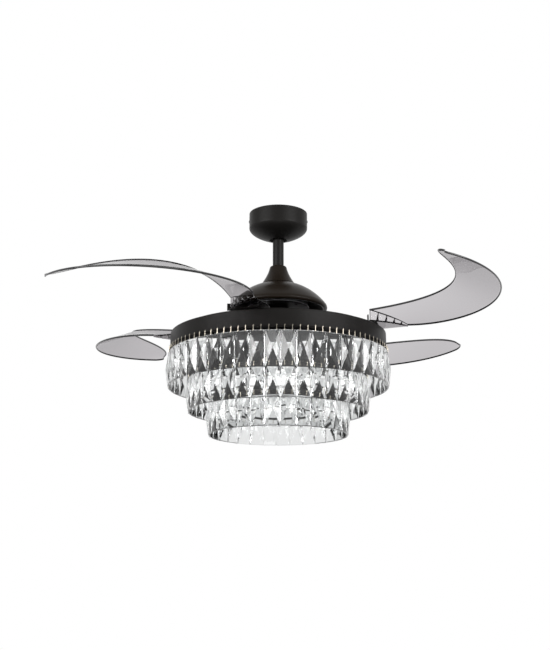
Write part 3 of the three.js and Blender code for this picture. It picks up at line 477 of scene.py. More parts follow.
for name, facing in (("right", 1), ("left", -1)):
    node = f"canopy_screw_{name}"
    outer = max(abs(corner.x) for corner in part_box(node))
    crown_at = (outer * facing, 0, SCREW_Z)
    grids = [on_x_axis(round_axis(profile, 40), crown_at, facing)
             for profile in (softened(SCREW_HEAD, SCREW_ROUND), SCREW_SHANK)]
    place(surface(f"{node}_head", grids), "ceiling_mount", black_paint, "black_paint", node)

# %% [markdown]
# ## Downrod, cone and cover
# The rod is a painted pipe. A flared cone slides down it and sits on a domed cover with a rolled
# rim. All three are turned. The dome is part of a large sphere, and its rim is rolled to a bead.

# %% Downrod
low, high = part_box("downrod")
ROD_R, ROD_WALL, ROD_ROUND = 0.0137, 0.0024, 0.0006
pipe = softened([(ROD_R - ROD_WALL, low.z), (ROD_R, low.z), (ROD_R, high.z),
                 (ROD_R - ROD_WALL, high.z)], ROD_ROUND)
place(surface("rod_pipe", [round_axis(pipe, 96)]), "fan_frame", black_paint, "black_paint",
      "downrod")

# %% Cone over the coupling
low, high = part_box("coupling_cover")
CONE_BASE, CONE_H = high.x, high.z - low.z
COLLAR_R, COLLAR_Z, ROD_GAP = ROD_R * 1.43, high.z - 0.003, 0.0004
t = np.linspace(0, 1, 40)
flare = np.stack([
    bezier([CONE_BASE, CONE_BASE * 0.75, ROD_R * 1.68, COLLAR_R], t),
    bezier([low.z, low.z + CONE_H * 0.31, low.z + CONE_H * 0.61, COLLAR_Z], t)], -1)
t = np.linspace(0.1, 1, 10)
collar = np.stack([
    bezier([COLLAR_R, ROD_R * 1.41, ROD_R * 1.16, ROD_R + 0.0005], t),
    bezier([COLLAR_Z, high.z - 0.0006, high.z, high.z - 0.0002], t)], -1)
cone = walled(np.vstack([flare, collar]), SHEET)
cone[:, 0] = np.maximum(cone[:, 0], ROD_R + ROD_GAP)
place(surface("coupling_cone", [round_axis(cone, 96)]), "fan_frame", bronze_paint, "bronze_paint",
      "coupling_cover")

# %% Domed motor cover
DOME_SPHERE, DOME_FLAT, SHAFT_HOLE = 0.149, 0.042, 0.0093
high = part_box("motor_cover")[1]
DOME_R, DOME_TOP = high.x, high.z
ROLL_R, ROLL_INSET, ROLL_DROP = 0.006, 0.0012, 0.005
ROLL_FROM, ROLL_TO, ROLL_FLAT = 25, -150, 0.95  # degrees from level, and its height as a share
sphere_z = DOME_TOP - math.sqrt(DOME_SPHERE**2 - DOME_FLAT**2)
angle = np.linspace(math.asin(DOME_FLAT / DOME_SPHERE),
                    math.asin((DOME_R - ROLL_INSET) / DOME_SPHERE), 40)
cap = np.stack([DOME_SPHERE * np.sin(angle), sphere_z + DOME_SPHERE * np.cos(angle)], -1)
rim_z = cap[-1, 1]
roll_angle = np.radians(np.linspace(ROLL_FROM, ROLL_TO, 18))
roll = np.stack([DOME_R - ROLL_R + ROLL_R * np.cos(roll_angle),
                 rim_z - ROLL_DROP + ROLL_R * np.sin(roll_angle) * ROLL_FLAT], -1)
crown = np.stack([np.linspace(SHAFT_HOLE, DOME_FLAT, 6, endpoint=False), np.full(6, DOME_TOP)], -1)
dome = walled(np.vstack([crown, cap, roll]), SHEET)
place(surface("motor_dome", [round_axis(dome, 160)]), "fan_frame", bronze_paint, "bronze_paint",
      "motor_cover")

# %% [markdown]
# ## Motor and hub
# Under the dome sits the turning motor case, of bare cast alloy. The black hub runs down from it
# to the drum as a narrow cone. Both are turned, with small radii along their edges.

# %% Motor case
low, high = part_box("rotor_housing")
CASE_R, FLANGE_R, BOSS_R, BORE_R = 0.0735, high.x, 0.0210, 0.0178
case = softened([
    (BOSS_R, high.z), (BOSS_R, high.z - 0.004), (CASE_R - 0.008, high.z - 0.004),
    (CASE_R, high.z - 0.012), (CASE_R, low.z + 0.0025), (FLANGE_R, low.z + 0.0025),
    (FLANGE_R, low.z), (CASE_R - 0.0025, low.z), (CASE_R - 0.0025, high.z - 0.013),
    (CASE_R - 0.009, high.z - 0.0065), (BORE_R, high.z - 0.0065), (BORE_R, high.z)], 0.0008)
place(surface("motor_case", [round_axis(case)]), "rotor", plain_alloy, "cast_alloy",
      "rotor_housing")

# %% Rotor base and hub
low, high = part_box("rotor_base")
HUB_TOP_R, HUB_LOW_R, HUB_BORE_R = 0.026, 0.045, 0.014
plate_low, neck_z = high.z - 0.0026, high.z - 0.022
hub = softened([
    (BORE_R, high.z), (FLANGE_R, high.z), (FLANGE_R, plate_low), (HUB_TOP_R, plate_low),
    (HUB_TOP_R, neck_z), (HUB_LOW_R - 0.008, low.z + 0.012), (HUB_LOW_R, low.z),
    (HUB_BORE_R, low.z), (HUB_BORE_R, neck_z), (BORE_R, neck_z)],
    [0.0005, 0.0006, 0.0006, 0.004, 0.012, 0.008, 0.0008, 0.0005, 0.0005, 0.0005], 7)
HUB_SCREWS, HUB_SCREW_R = 6, 0.062
button = softened([(0, plate_low), (0.0036, plate_low), (0.0032, plate_low - 0.0018),
                   (0, plate_low - 0.0022)], 0.0005)
grids = [round_axis(hub)]
for k in range(HUB_SCREWS):
    a = 2 * math.pi * (k + 0.25) / HUB_SCREWS
    grids.append(round_axis(button, 20, (HUB_SCREW_R * math.cos(a), HUB_SCREW_R * math.sin(a))))
place(surface("rotor_hub", grids), "rotor", black_paint, "black_paint", "rotor_base")

# %% [markdown]
# ## Drum
# A rolled steel band with a round plate inside it. The plate lies on a ledge of the band, and a
# lip turns in along the band's lower edge, over the top ring of hooks. Studs run down from the
# plate to the two smaller rings.

# %% Drum band and plate
low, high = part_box("drum_band")
DRUM_R, DRUM_TOP, DRUM_LOW = high.x, high.z, low.z
LIP, LEDGE, SEAT_GAP = 0.012, 0.006, 0.0003
wall, ledge_low = DRUM_R - SHEET, DRUM_TOP - 2 * SHEET - SEAT_GAP
ledge_top = DRUM_TOP - SHEET - SEAT_GAP
band = softened([
    (wall, DRUM_TOP), (DRUM_R, DRUM_TOP), (DRUM_R, DRUM_LOW), (DRUM_R - LIP, DRUM_LOW),
    (DRUM_R - LIP, DRUM_LOW + SHEET), (wall, DRUM_LOW + SHEET), (wall, ledge_low),
    (wall - LEDGE, ledge_low), (wall - LEDGE, ledge_top), (wall, ledge_top)],
    [0.0005, 0.0010, 0.0012] + [0.0005] * 7)
place(surface("drum_side", [round_axis(band, 256)]), "fan_frame", black_paint, "black_paint",
      "drum_band")

STUD_R, TIER_OUT, TIER_STEP = 0.0025, 0.002, 0.050
HOOK_R, HOOK_GAP, RING_W = 0.0011, 0.0006, 0.011
TIER_R = [DRUM_R + TIER_OUT - TIER_STEP * i for i in range(3)]
RING_NODES = ["top_hook_ring", "middle_hook_ring", "lower_hook_ring"]
RING_TOP = [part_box(node)[1].z for node in RING_NODES]
disc = softened([(SHAFT_HOLE, DRUM_TOP - SHEET), (wall - SEAT_GAP, DRUM_TOP - SHEET),
                 (wall - SEAT_GAP, DRUM_TOP), (SHAFT_HOLE, DRUM_TOP)], 0.0004)
grids = [round_axis(disc, 256)]
for tier in (1, 2):
    radius = TIER_R[tier] + HOOK_R + HOOK_GAP - RING_W / 2
    for k in range(4):
        a = math.pi / 2 * (k + tier / 2)
        stud = softened([(0, RING_TOP[tier] + 0.0003), (STUD_R, RING_TOP[tier] + 0.0003),
                         (STUD_R, DRUM_TOP - 0.0008), (0, DRUM_TOP - 0.0008)], 0.0004, 3)
        grids.append(round_axis(stud, 16, (radius * math.cos(a), radius * math.sin(a))))
place(surface("drum_top", grids), "fan_frame", matt_black, "black_paint", "drum_plate")
print("drum radius", round(DRUM_R, 4))

# %% [markdown]
# ## Blade carrier
# The plate that turns with the motor just above the drum, and carries the pins of the blades. It
# is a plain disc with rounded edges.

# %% Blade carrier
low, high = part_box("blade_carrier")
CARRIER_R, CARRIER_ROUND = 0.246, 0.0009
plate = softened([(HUB_BORE_R, low.z), (CARRIER_R, low.z), (CARRIER_R, high.z),
                  (HUB_BORE_R, high.z)], CARRIER_ROUND)
place(surface("carrier_plate", [round_axis(plate, 256)]), "rotor", black_paint, "black_paint",
      "blade_carrier")

# %% [markdown]
# ## Pivots
# Each blade turns on a pin with a domed head, and a coil spring round the pin draws it in.


# %% Pivot pins, springs and guide studs
PIVOTS, COILS, COIL_R, COIL_WIRE = 4, 2.5, 0.009, 0.0011


def standing(box):
    """Lowest and highest Z of a node's box, and the point (x, y) of its axis."""
    low, high = box
    return low.z, high.z, ((low.x + high.x) / 2, (low.y + high.y) / 2)


for k in range(1, PIVOTS + 1):
    low, high, at = standing(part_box(f"pivot_pin_{k}"))
    pin = softened([(0, low), (0.008, low), (0.008, low + 0.0018), (0.005, low + 0.0018),
                    (0.005, high - 0.002), (0.011, high - 0.002), (0.010, high - 0.0002),
                    (0.004, high), (0, high)], 0.0006)
    place(surface(f"pin_{k}", [round_axis(pin, 48, at)]), "rotor", black_steel, "steel",
          f"pivot_pin_{k}")
    low, high = standing(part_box(f"return_spring_{k}"))[:2]
    turn = np.linspace(0, COILS * 2 * np.pi, 120)
    rise = low + COIL_WIRE + turn / (COILS * 2 * np.pi) * (high - low - 2 * COIL_WIRE)
    wire = np.stack([at[0] + COIL_R * np.cos(turn), at[1] + COIL_R * np.sin(turn), rise], -1)
    coil = surface(f"spring_{k}", [along_path(wire, COIL_WIRE)], wrap_path=False, cap_ends=True)
    place(coil, "rotor", black_steel, "steel", f"return_spring_{k}")
    low, high, at = standing(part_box(f"guide_stud_{k}"))
    stud = softened([(0, low), (0.002, low), (0.002, low + 0.0028), (0.004, low + 0.0028),
                     (0.004, high - 0.0014), (0.0065, high - 0.0014), (0.0060, high),
                     (0, high)], 0.0004)
    place(surface(f"stud_{k}", [round_axis(stud, 32, at)]), "rotor", black_nylon, "nylon",
          f"guide_stud_{k}")

# %% [markdown]
# ## Blades
# Each blade is one moulded sheet of smoked acrylic. Its outer edge is a true arc, so that the
# folded blade follows the drum, except near the root, and its inner edge is a free curve. Across
# the blade the sheet runs straight from edge to edge, while both edges rise and fall. So a point
# of the blade is a function of two parameters, t from root to tip and s from the outer edge to the
# inner, and a beaded section is carried along t. The thick bead looks nearly black, as the edge of
# any tinted clear sheet does in the light that runs through it. That dark is painted shade: the
# bead has a near-black finish of its own.

# %% Blade outline
PIVOT_R, FOLDED_R, FOLD_DEG, FIRST_PIVOT = 0.235, 0.265, 97.5, -8.7
START_DEG, END_DEG, TIP_W = 159.3, 25.9, 0.012
INNER = [np.array(p) for p in ((0.0735, -0.015), (0.150, 0.342), (0.413, 0.051))]
ROOT_BOW, BLADE_T = 0.008, 0.0026
ROOT_INSET, INSET_POWER, ROOT_ROUND, ROOT_T = 0.031, 9, 0.016, 0.0032
OUTER_LIFT, INNER_LIFT = (0.015, 0.022, 0.0505), (0.038, 0.098, 0.058)


def outer_edge(t, inset=0.0):
    """The arc of the folded radius about the drum's axis. It leaves the arc inwards at the
    root, by ROOT_INSET times (1 - t) to the INSET_POWER, and by an inset of the caller's."""
    a = np.radians(START_DEG + (END_DEG - START_DEG) * t)
    radius = FOLDED_R - inset - ROOT_INSET * (1 - t) ** INSET_POWER
    return np.stack([PIVOT_R + radius * np.cos(a), radius * np.sin(a)], -1)


def inner_edge(t):
    """A cubic pull curve from the root's inner corner to the tip."""
    line = INNER + [outer_edge(np.array(1.0), TIP_W)]
    return np.stack([bezier([p[i] for p in line], t) for i in (0, 1)], -1)


root_run = inner_edge(np.array(0.0)) - outer_edge(np.array(0.0))
ROOT_OUT = np.array([-root_run[1], root_run[0]]) / np.linalg.norm(root_run)


def blade_plan(t, s):
    """Point between the two edges, with the root's end bowed outwards."""
    bow = ROOT_BOW * 4 * s * (1 - s) * (1 - t) ** 2
    across = outer_edge(t) * (1 - s)[..., None] + inner_edge(t) * s[..., None]
    return across + bow[..., None] * ROOT_OUT


def blade_lift(t, s):
    """Height of the sheet's upper face: each edge follows its own pull curve."""
    return DRUM_TOP + bezier(OUTER_LIFT, t) * (1 - s) + bezier(INNER_LIFT, t) * s + BLADE_T


# %% Blade sheet
BEAD_W, BEAD_T, BEAD_FROM, BEAD_FALL = 0.0032, 0.0054, 25, 0.8
ROUND_TIP, TIP_LEAST = 0.05, 0.02  # share of t that is rounded, and what is left at the end
ACROSS, BEAD_STEPS, TIP_STEPS = 24, 9, 12


def sheet_section():
    """Runs once round the sheet's section: over the top, round the bead of the inner edge, back
    underneath and round the outer bead. Returns s, the distance in from the edge and the height
    over the sheet's middle."""
    s = np.linspace(0, 1, ACROSS)
    bead = np.radians(np.linspace(BEAD_FROM, 180 - BEAD_FROM, BEAD_STEPS))
    lift, inward = BEAD_T / 2 * np.cos(bead), BEAD_W * (1 - np.sin(bead)) ** BEAD_FALL
    flat = np.full(ACROSS, BLADE_T / 2)
    one = np.ones(BEAD_STEPS)
    share = np.concatenate([s, one, s[::-1], 0 * one])
    height = np.concatenate([flat, lift, -flat, -lift])
    ends = np.where(s == 0, BEAD_W, 0) - np.where(s == 1, BEAD_W, 0)
    depth = np.concatenate([ends, -inward, ends[::-1], inward])
    return share, depth, height


def blade_sheet(steps=120):
    """Grid of the blade with the pivot at the origin: the section is carried from root to tip,
    and towards the tip it draws in to the middle as a quarter ellipse does."""
    share, depth, height = sheet_section()
    last = 1 - ROUND_TIP * np.cos(np.linspace(0, np.pi / 2, TIP_STEPS))
    t = np.concatenate([np.linspace(0, 1 - ROUND_TIP, steps), last[1:]])
    t, s = np.meshgrid(t, share, indexing="ij")
    past = np.clip((t - 1 + ROUND_TIP) / ROUND_TIP, 0, 1)
    s = 0.5 + (s - 0.5) * np.sqrt(np.maximum(1 - past**2, TIP_LEAST))
    run = inner_edge(t) - outer_edge(t)
    run /= np.linalg.norm(run, axis=-1, keepdims=True)
    plan = blade_plan(t, s) + run * depth[None, :, None]
    lift = blade_lift(t, s) - BLADE_T / 2 + height
    return np.concatenate([plan, lift[..., None]], -1)


# %% Blade root
ROOT_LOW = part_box("blade_1")[0].z
WALL_GRID, WALL_FROM = (40, 28), 0.02
WALL_SQUARE, RIB_SQUARE = 1.35, 1.3  # 1 is an ellipse; more flattens its four sides
RIB_REACH, RIB_T, RIB_COUNT = 0.008, 0.0028, 4
PIN_HOLE, FOOT_EDGE = 0.0055, 0.0005
FOOT_FROM, FOOT_TO = 160, 280  # degrees that the foot's outline runs round the pin


def root_height(s, share):
    """Height on the root wall: share 0 at the root plate's underside, 1 at the sheet."""
    return ROOT_LOW + (blade_lift(0.0, s) - BLADE_T / 2 - ROOT_LOW) * share


def root_wall():
    """The wall under the root's end of the sheet: a slim rounded section carried along s."""
    s = np.linspace(WALL_FROM, 1 - WALL_FROM, WALL_GRID[0])[:, None]
    turn = np.linspace(0, 2 * np.pi, WALL_GRID[1], endpoint=False)[None, :]
    share = 0.5 + 0.5 * np.clip(np.cos(turn) * WALL_SQUARE, -1, 1)
    depth = BLADE_T * (0.5 + 0.5 * np.clip(np.sin(turn) * WALL_SQUARE, -1, 1))
    s, share, depth = np.broadcast_arrays(s, share, depth)
    plan = blade_plan(np.zeros_like(s), s) - depth[..., None] * ROOT_OUT
    return np.concatenate([plan, root_height(s, share)[..., None]], -1)


def root_rib(at):
    """A rib square to the wall: an upright section that shrinks as it runs back over the plate."""
    u = np.linspace(0, 1, 8)[:, None]
    turn = np.linspace(0, 2 * np.pi, 20, endpoint=False)[None, :]
    share = 0.5 + 0.5 * np.clip(np.cos(turn) * RIB_SQUARE, -1, 1)
    side = RIB_T / 2 * np.clip(np.sin(turn) * RIB_SQUARE, -1, 1)
    u, share, side = np.broadcast_arrays(u, share, side)
    base = blade_plan(np.zeros(1), np.full(1, at))[0]
    back = -0.001 - u * RIB_REACH
    lateral = np.array([-ROOT_OUT[1], ROOT_OUT[0]])
    plan = base + back[..., None] * ROOT_OUT + side[..., None] * lateral
    plate_top = ROOT_LOW + ROOT_T
    top = (root_height(np.full_like(u, at), 1.0) - 0.001) * (1 - u) + (plate_top + 0.0005) * u
    height = plate_top - 0.0004 + (top - plate_top + 0.0004) * share
    return np.concatenate([plan, height[..., None]], -1)


def evenly(points, count):
    """Points at equal steps along a closed polyline."""
    points = np.vstack([points, points[:1]])
    far = np.concatenate([[0], np.cumsum(np.linalg.norm(np.diff(points, axis=0), axis=1))])
    at = np.linspace(0, far[-1], count, endpoint=False)
    return np.stack([np.interp(at, far, points[:, i]) for i in (0, 1)], -1)


def root_plate():
    """The flat root plate: rings of points from the pin's hole out to the outline, along the
    top, down the edge and back underneath. The outline runs from the outer corner round the pin
    and along the bowed end."""
    a = np.radians(np.linspace(FOOT_FROM, FOOT_TO, 12))
    s = np.linspace(1, 0, 24)
    outline = evenly(np.vstack([ROOT_ROUND * np.stack([np.cos(a), np.sin(a)], -1),
                                blade_plan(np.zeros_like(s), s)]), 140)
    length = np.linalg.norm(outline, axis=1, keepdims=True)
    hole, inner = outline / length * PIN_HOLE, outline - outline / length * FOOT_EDGE
    top = ROOT_LOW + ROOT_T
    rings = [(hole, top), (inner, top), (outline, top - FOOT_EDGE),
             (outline, ROOT_LOW + FOOT_EDGE), (inner, ROOT_LOW), (hole, ROOT_LOW)]
    return np.stack([np.insert(plan, 2, height, axis=-1) for plan, height in rings], 1)


# %% Set a blade on its pivot
def turned_to(grid, k):
    """Moves a blade grid from its own pivot to pivot k of the fan, standing open."""
    pivot = math.radians(FIRST_PIVOT + 90 * k)
    a = pivot + math.pi + math.radians(FOLD_DEG)
    x, y, z = np.moveaxis(grid, -1, 0)
    return np.stack([PIVOT_R * math.cos(pivot) + x * math.cos(a) - y * math.sin(a),
                     PIVOT_R * math.sin(pivot) + x * math.sin(a) + y * math.cos(a), z], -1)


def paint_edge(mesh):
    """Gives the beads along the sheet's edges, and the two end faces, the second finish: near-black
    painted shade for the dark that a tinted clear edge shows.
    """
    half = ACROSS + BEAD_STEPS  # the section is two runs of one face and one bead
    on_edge = np.arange(len(mesh.polygons)) % half >= ACROSS - 1
    on_edge[-2:] = True
    mesh.polygons.foreach_set("material_index", on_edge.astype(np.int32))
    mesh.update()


def paint_ribs(mesh):
    """Gives the ribs, the wall's two ends and its upper and lower edges the second finish, the
    near-black painted shade of the sheet's edges.
    """
    rows, cols = WALL_GRID
    cell = np.arange(len(mesh.polygons))
    around = cell % cols
    line = (around < 2) | (around >= cols - 2) | (np.abs(around - cols / 2 + 0.5) < 2)
    wall = cell < (rows - 1) * cols
    mesh.polygons.foreach_set("material_index", (~wall | line).astype(np.int32))
    mesh.update()


for k in range(PIVOTS):
    node, arm = f"blade_{k + 1}", f"blade_arm_{k + 1}"
    sheet = surface(f"blade_sheet_{k + 1}", [turned_to(blade_sheet(), k)], wrap_path=False,
                    cap_ends=True)
    place(sheet, arm, [smoke, painted_edge_shade], "smoke_plastic", node)
    paint_edge(sheet.data)
    solids = [root_wall()] + [root_rib((i + 1) / (RIB_COUNT + 1)) for i in range(RIB_COUNT)]
    root = surface(f"blade_root_{k + 1}", [turned_to(solid, k) for solid in solids],
                   wrap_path=False, cap_ends=True)
    place(root, arm, [smoke, painted_edge_shade], "smoke_plastic", node)
    paint_ribs(root.data)
    foot = surface(f"blade_foot_{k + 1}", [turned_to(root_plate(), k)])
    place(foot, arm, smoke, "smoke_plastic", node)

# %% [markdown]
# ## Crystals
# Each crystal is a flat bar cut with an X on both faces: four facets rise from the edges to a
# crown in the middle. Cut glass lives from its flat faces, so the mesh keeps them flat, and every
# crystal is its own solid with a bevel all round. They hang a little unevenly, each turned by a
# seeded random hair, which is why no two facets in a row flash alike.

# %% One crystal
CRYSTAL_W, CRYSTAL_H, TOP_EXTRA = 0.0338, 0.080, 0.003  # the top tier's reach up to the ring
EDGE_T, CROWN_T, BEVEL, BEVEL_DEPTH = 0.0040, 0.0160, 0.0012, 0.7  # its depth is a share of it


def crystal_shape(tall):
    """Corners and faces of one crystal of a height: for each level of depth a rectangle, with
    a crown point before and behind."""
    levels = [(-EDGE_T / 2, BEVEL), (-EDGE_T / 2 + BEVEL * BEVEL_DEPTH, 0),
              (EDGE_T / 2 - BEVEL * BEVEL_DEPTH, 0), (EDGE_T / 2, BEVEL)]
    corner = np.array([(-1, -1), (1, -1), (1, 1), (-1, 1)], float)
    points = [(0.0, -CROWN_T / 2, 0.0), (0.0, CROWN_T / 2, 0.0)]
    for depth, inset in levels:
        half = np.array([CRYSTAL_W / 2 - inset, tall / 2 - inset])
        points += [(x * half[0], depth, z * half[1]) for x, z in corner]
    faces = [(0, 2 + i, 2 + (i + 1) % 4) for i in range(4)]
    faces += [(1, 14 + (i + 1) % 4, 14 + i) for i in range(4)]
    for level in range(3):
        a = 2 + 4 * level
        faces += [(a + i, a + 4 + i, a + 4 + (i + 1) % 4, a + (i + 1) % 4) for i in range(4)]
    return np.array(points), faces


# %% Tiers of crystals
SEAM_X = 0.0052  # the joint between two crystals that faces the camera lies this far right
PITCH, HOOKS_EACH = 0.03475, 2
SPIN, LEAN, SEED = 0.012, 0.006, 7  # radians, as standard deviations
TIERS = ["top_crystals", "middle_crystals", "lower_crystals"]
random = np.random.default_rng(SEED)


def tier_angles(tier, per_crystal=1):
    """Angles of the crystals of a tier, or of their hooks, so that a joint lies at SEAM_X."""
    count = round(2 * math.pi * TIER_R[tier] / PITCH) * per_crystal
    start = -math.pi / 2 + math.asin(SEAM_X / TIER_R[tier])
    return start + (np.arange(count) + 0.5) * 2 * math.pi / count


def crystal_ring(tier):
    """Every crystal of a tier in one mesh: the shape, tipped a hair and set round the axis."""
    extra = TOP_EXTRA * (tier == 0)
    shape, faces = crystal_shape(CRYSTAL_H + extra)
    angle = tier_angles(tier)
    count = len(angle)
    spin, lean = random.normal(0, SPIN, count), random.normal(0, LEAN, count)
    x, y, z = shape.T
    y, z = (y * np.cos(lean[:, None]) - z * np.sin(lean[:, None]),
            y * np.sin(lean[:, None]) + z * np.cos(lean[:, None]))
    x, y = (x * np.cos(spin[:, None]) - y * np.sin(spin[:, None]),
            x * np.sin(spin[:, None]) + y * np.cos(spin[:, None]))
    low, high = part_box(TIERS[tier])
    radius = TIER_R[tier] - y
    turn, middle = angle[:, None], (low.z + high.z + extra) / 2
    points = np.stack([radius * np.cos(turn) - x * np.sin(turn),
                       radius * np.sin(turn) + x * np.cos(turn), middle + z], -1)
    every = [tuple(i + n * len(shape) for i in face) for n in range(count) for face in faces]
    mesh = bpy.data.meshes.new(f"{TIERS[tier]}_cut")
    mesh.from_pydata(points.reshape(-1, 3).tolist(), [], every)
    work = bmesh.new()
    work.from_mesh(mesh)
    bmesh.ops.recalc_face_normals(work, faces=work.faces)
    work.to_mesh(mesh)
    work.free()
    mesh.shade_flat()
    piece = bpy.data.objects.new(f"{TIERS[tier]}_cut", mesh)
    bpy.context.scene.collection.objects.link(piece)
    return piece


for tier, node in enumerate(TIERS):
    place(crystal_ring(tier), "fan_frame", crystal, "crystal", node)
    print(node, len(tier_angles(tier)), "crystals")

# %% [markdown]
# ## Hook rings
# A flat black ring carries each tier. Every crystal hangs on two brass wire pins: a small loop at
# the ring, a straight shank, and a loop at the crystal's upper edge.


# %% Hook pins
WIRE_R, LOOP_R, WIRE_OUT = 0.00045, 0.0011, 0.0018
LOOP_SHARE, SHANK_FROM = 0.25, 0.12  # shares of the path: each loop, and where the height falls


def hook_wire(radius, angle, top, low):
    """Path of one pin: a small loop, a straight shank and a second loop, in the plane that
    faces outwards. The height runs down while the sideways offset circles at both ends."""
    t = np.linspace(0, 1, 33)
    first = 2 * np.pi * np.clip(t / LOOP_SHARE, 0, 1)
    last = 2 * np.pi * np.clip((t - 1 + LOOP_SHARE) / LOOP_SHARE, 0, 1)
    side = LOOP_R * (np.sin(first) + np.sin(last))
    height = top + (low - top) * np.clip((t - SHANK_FROM) / (1 - 2 * SHANK_FROM), 0, 1)
    height += LOOP_R * (np.cos(first) - 1) * (t < LOOP_SHARE)
    height += LOOP_R * (1 - np.cos(last)) * (t > 1 - LOOP_SHARE)
    out = np.stack([np.cos(angle), np.sin(angle), 0])
    across = np.stack([-np.sin(angle), np.cos(angle), 0])
    path = radius * out + side[:, None] * across
    path[:, 2] = height
    return path


for tier, node in enumerate(RING_NODES):
    low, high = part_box(node)
    outer = TIER_R[tier] + HOOK_R + HOOK_GAP
    flat = softened([(outer - RING_W, high.z - 0.002), (outer, high.z - 0.002), (outer, high.z),
                     (outer - RING_W, high.z)], 0.0006, 4)
    ring = surface(f"{node}_flat", [round_axis(flat, 256)])
    place(ring, "fan_frame", matt_black, "black_paint", node)
    pin_top, pin_low = high.z + (0.0025 if tier == 0 else -0.001), low.z + 0.0015
    wires = [along_path(hook_wire(TIER_R[tier] + WIRE_OUT, a, pin_top, pin_low), WIRE_R, 6,
                        (math.cos(a), math.sin(a), 0.01))
             for a in tier_angles(tier, HOOKS_EACH)]
    pins = surface(f"{node}_pins", wires, wrap_path=False, cap_ends=True)
    place(pins, "fan_frame", hook_brass, "steel", node)

# %% [markdown]
# ## Light
# A bowl closes the tray with the lamps. The light is off in the photograph. The bowl is coloured
# near black as painted shade for the dark inside of the fan, and the dark bowl and drum are what
# the middle facets of the crystals show.

# %% Diffuser
low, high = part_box("led_diffuser")
BOWL_R, BOWL_T, BOWL_DEPTH = high.x, 0.002, 0.022
a = np.linspace(0, np.pi / 2, 40)
bowl_top = low.z + BOWL_DEPTH
curve = np.stack([BOWL_R * np.cos(a), bowl_top - (bowl_top - low.z) * np.sin(a)], -1)
drop = np.linspace(high.z, bowl_top, 4, endpoint=False)
straight = np.stack([np.full_like(drop, BOWL_R), drop], -1)
shell = walled(np.vstack([straight, curve]), -BOWL_T)
shell[:, 0] = np.maximum(shell[:, 0], 0)
place(surface("light_bowl", [round_axis(shell, 128)]), "fan_frame", bowl_painted_shade,
      "smoke_plastic", "led_diffuser")

# %% [markdown]
# ## Nodes that keep their shape
# The small cast, stamped and hidden pieces are right as they are packed and only get a finish.
# Each takes the one of its material slot, except the light's tray: it is cast, and takes matt black
# as painted shade, to darken the inside of the fan behind the crystals.

# %% Finishes for the remaining nodes
BY_SLOT = {"black_paint": black_paint, "bronze_paint": bronze_paint, "nylon": black_nylon,
           "steel": zinc_steel, "cast_alloy": plain_alloy, "copper": copper_wire,
           "ferrite": dull_iron, "white_board": white_board, "smoke_plastic": smoke,
           # the opal slot takes the bowl's near-black painted shade
           "crystal": crystal, "opal": bowl_painted_shade}
slot_of = {part["node"]: part["material_slot"] for part in frame["record"]["subparts"]}
for node, obj in frame["nodes"].items():
    obj.data.materials.clear()
    # the light's tray gets matt black as painted shade for the inside of the fan
    obj.data.materials.append(matt_black if node == "led_tray" else BY_SLOT[slot_of[node]])
    if not obj.hide_render:
        print("kept as packed:", node)

# %% [markdown]
# ## Studio
# The photograph has an even white ground and soft light from both sides. The world shows white to
# the camera, in reflections and through glass. The floor does so in the last two only, because the
# camera should see the fan's shadow on it. The light that both give the fan stays plain.


# %% World and floor
def white_where_seen(tree, plain, out_socket, kind, *rays):
    """White for the named kinds of ray, and the plain shader for all others."""
    path = tree.nodes.new("ShaderNodeLightPath")
    seen = path.outputs[rays[0]]
    for ray in rays[1:]:
        seen = math_node(tree, "MAXIMUM", seen, path.outputs[ray])
    mix = tree.nodes.new("ShaderNodeMixShader")
    white = tree.nodes.new(kind)
    white.inputs["Color"].default_value = (1, 1, 1, 1)
    white.inputs["Strength"].default_value = 1.0
    tree.links.new(seen, mix.inputs[0])
    tree.links.new(plain, mix.inputs[1])
    tree.links.new(white.outputs[0], mix.inputs[2])
    tree.links.new(mix.outputs[0], out_socket)


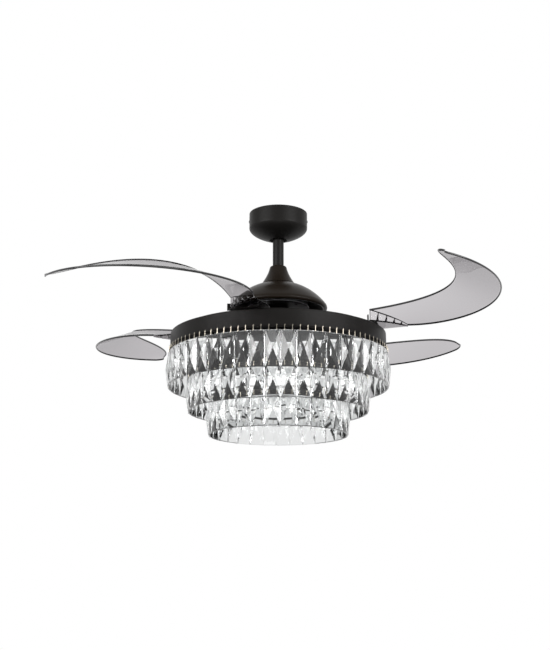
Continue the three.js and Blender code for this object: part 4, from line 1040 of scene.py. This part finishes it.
world = bpy.data.worlds.new("studio")
bpy.context.scene.world = world
world.use_nodes = True
sky = world.node_tree.nodes["Background"]
sky.inputs["Color"].default_value = (1, 1, 1, 1)
sky.inputs["Strength"].default_value = 0.3
white_where_seen(world.node_tree, sky.outputs[0],
                 world.node_tree.nodes["World Output"].inputs["Surface"],
                 "ShaderNodeBackground", "Is Camera Ray", "Is Glossy Ray", "Is Transmission Ray")

FLOOR_Z, FLOOR_HALF = -2.6, 6
floor_mesh = bpy.data.meshes.new("floor")
floor_mesh.from_pydata([(x * FLOOR_HALF, y * FLOOR_HALF, FLOOR_Z)
                        for x, y in ((-1, -1), (1, -1), (1, 1), (-1, 1))], [], [(0, 1, 2, 3)])
floor = bpy.data.objects.new("floor", floor_mesh)
bpy.context.scene.collection.objects.link(floor)
pale = bpy.data.materials.new("pale_floor")
pale.use_nodes = True
floor_shader = pale.node_tree.nodes["Principled BSDF"]
floor_shader.inputs["Base Color"].default_value = (0.9, 0.9, 0.9, 1)
floor_shader.inputs["Roughness"].default_value = 0.8
white_where_seen(pale.node_tree, floor_shader.outputs[0],
                 pale.node_tree.nodes["Material Output"].inputs["Surface"],
                 "ShaderNodeEmission", "Is Glossy Ray", "Is Transmission Ray")
floor_mesh.materials.append(pale)


# %% Lamps
def softbox(name, at, size, power, toward=(0, 0, -0.3)):
    """A rectangular area lamp that looks at a point of the fan."""
    data = bpy.data.lights.new(name, "AREA")
    data.shape, data.size, data.size_y, data.energy = "RECTANGLE", size[0], size[1], power
    lamp = bpy.data.objects.new(name, data)
    lamp.location = at
    run = np.array(toward) - np.array(at)
    lamp.rotation_euler = (math.acos(-run[2] / np.linalg.norm(run)), 0,
                           math.atan2(run[1], run[0]) - math.pi / 2)
    bpy.context.scene.collection.objects.link(lamp)
    print(name, "of", power, "W")


softbox("left_box", (-2.0, -1.7, 0.35), (2.1, 1.0), 55)
softbox("right_box", (2.0, -1.7, 0.35), (2.1, 1.0), 55)
softbox("front_box", (0.0, -3.2, -1.6), (2.0, 0.8), 12)

bpy.context.scene.view_settings.view_transform = "Standard"
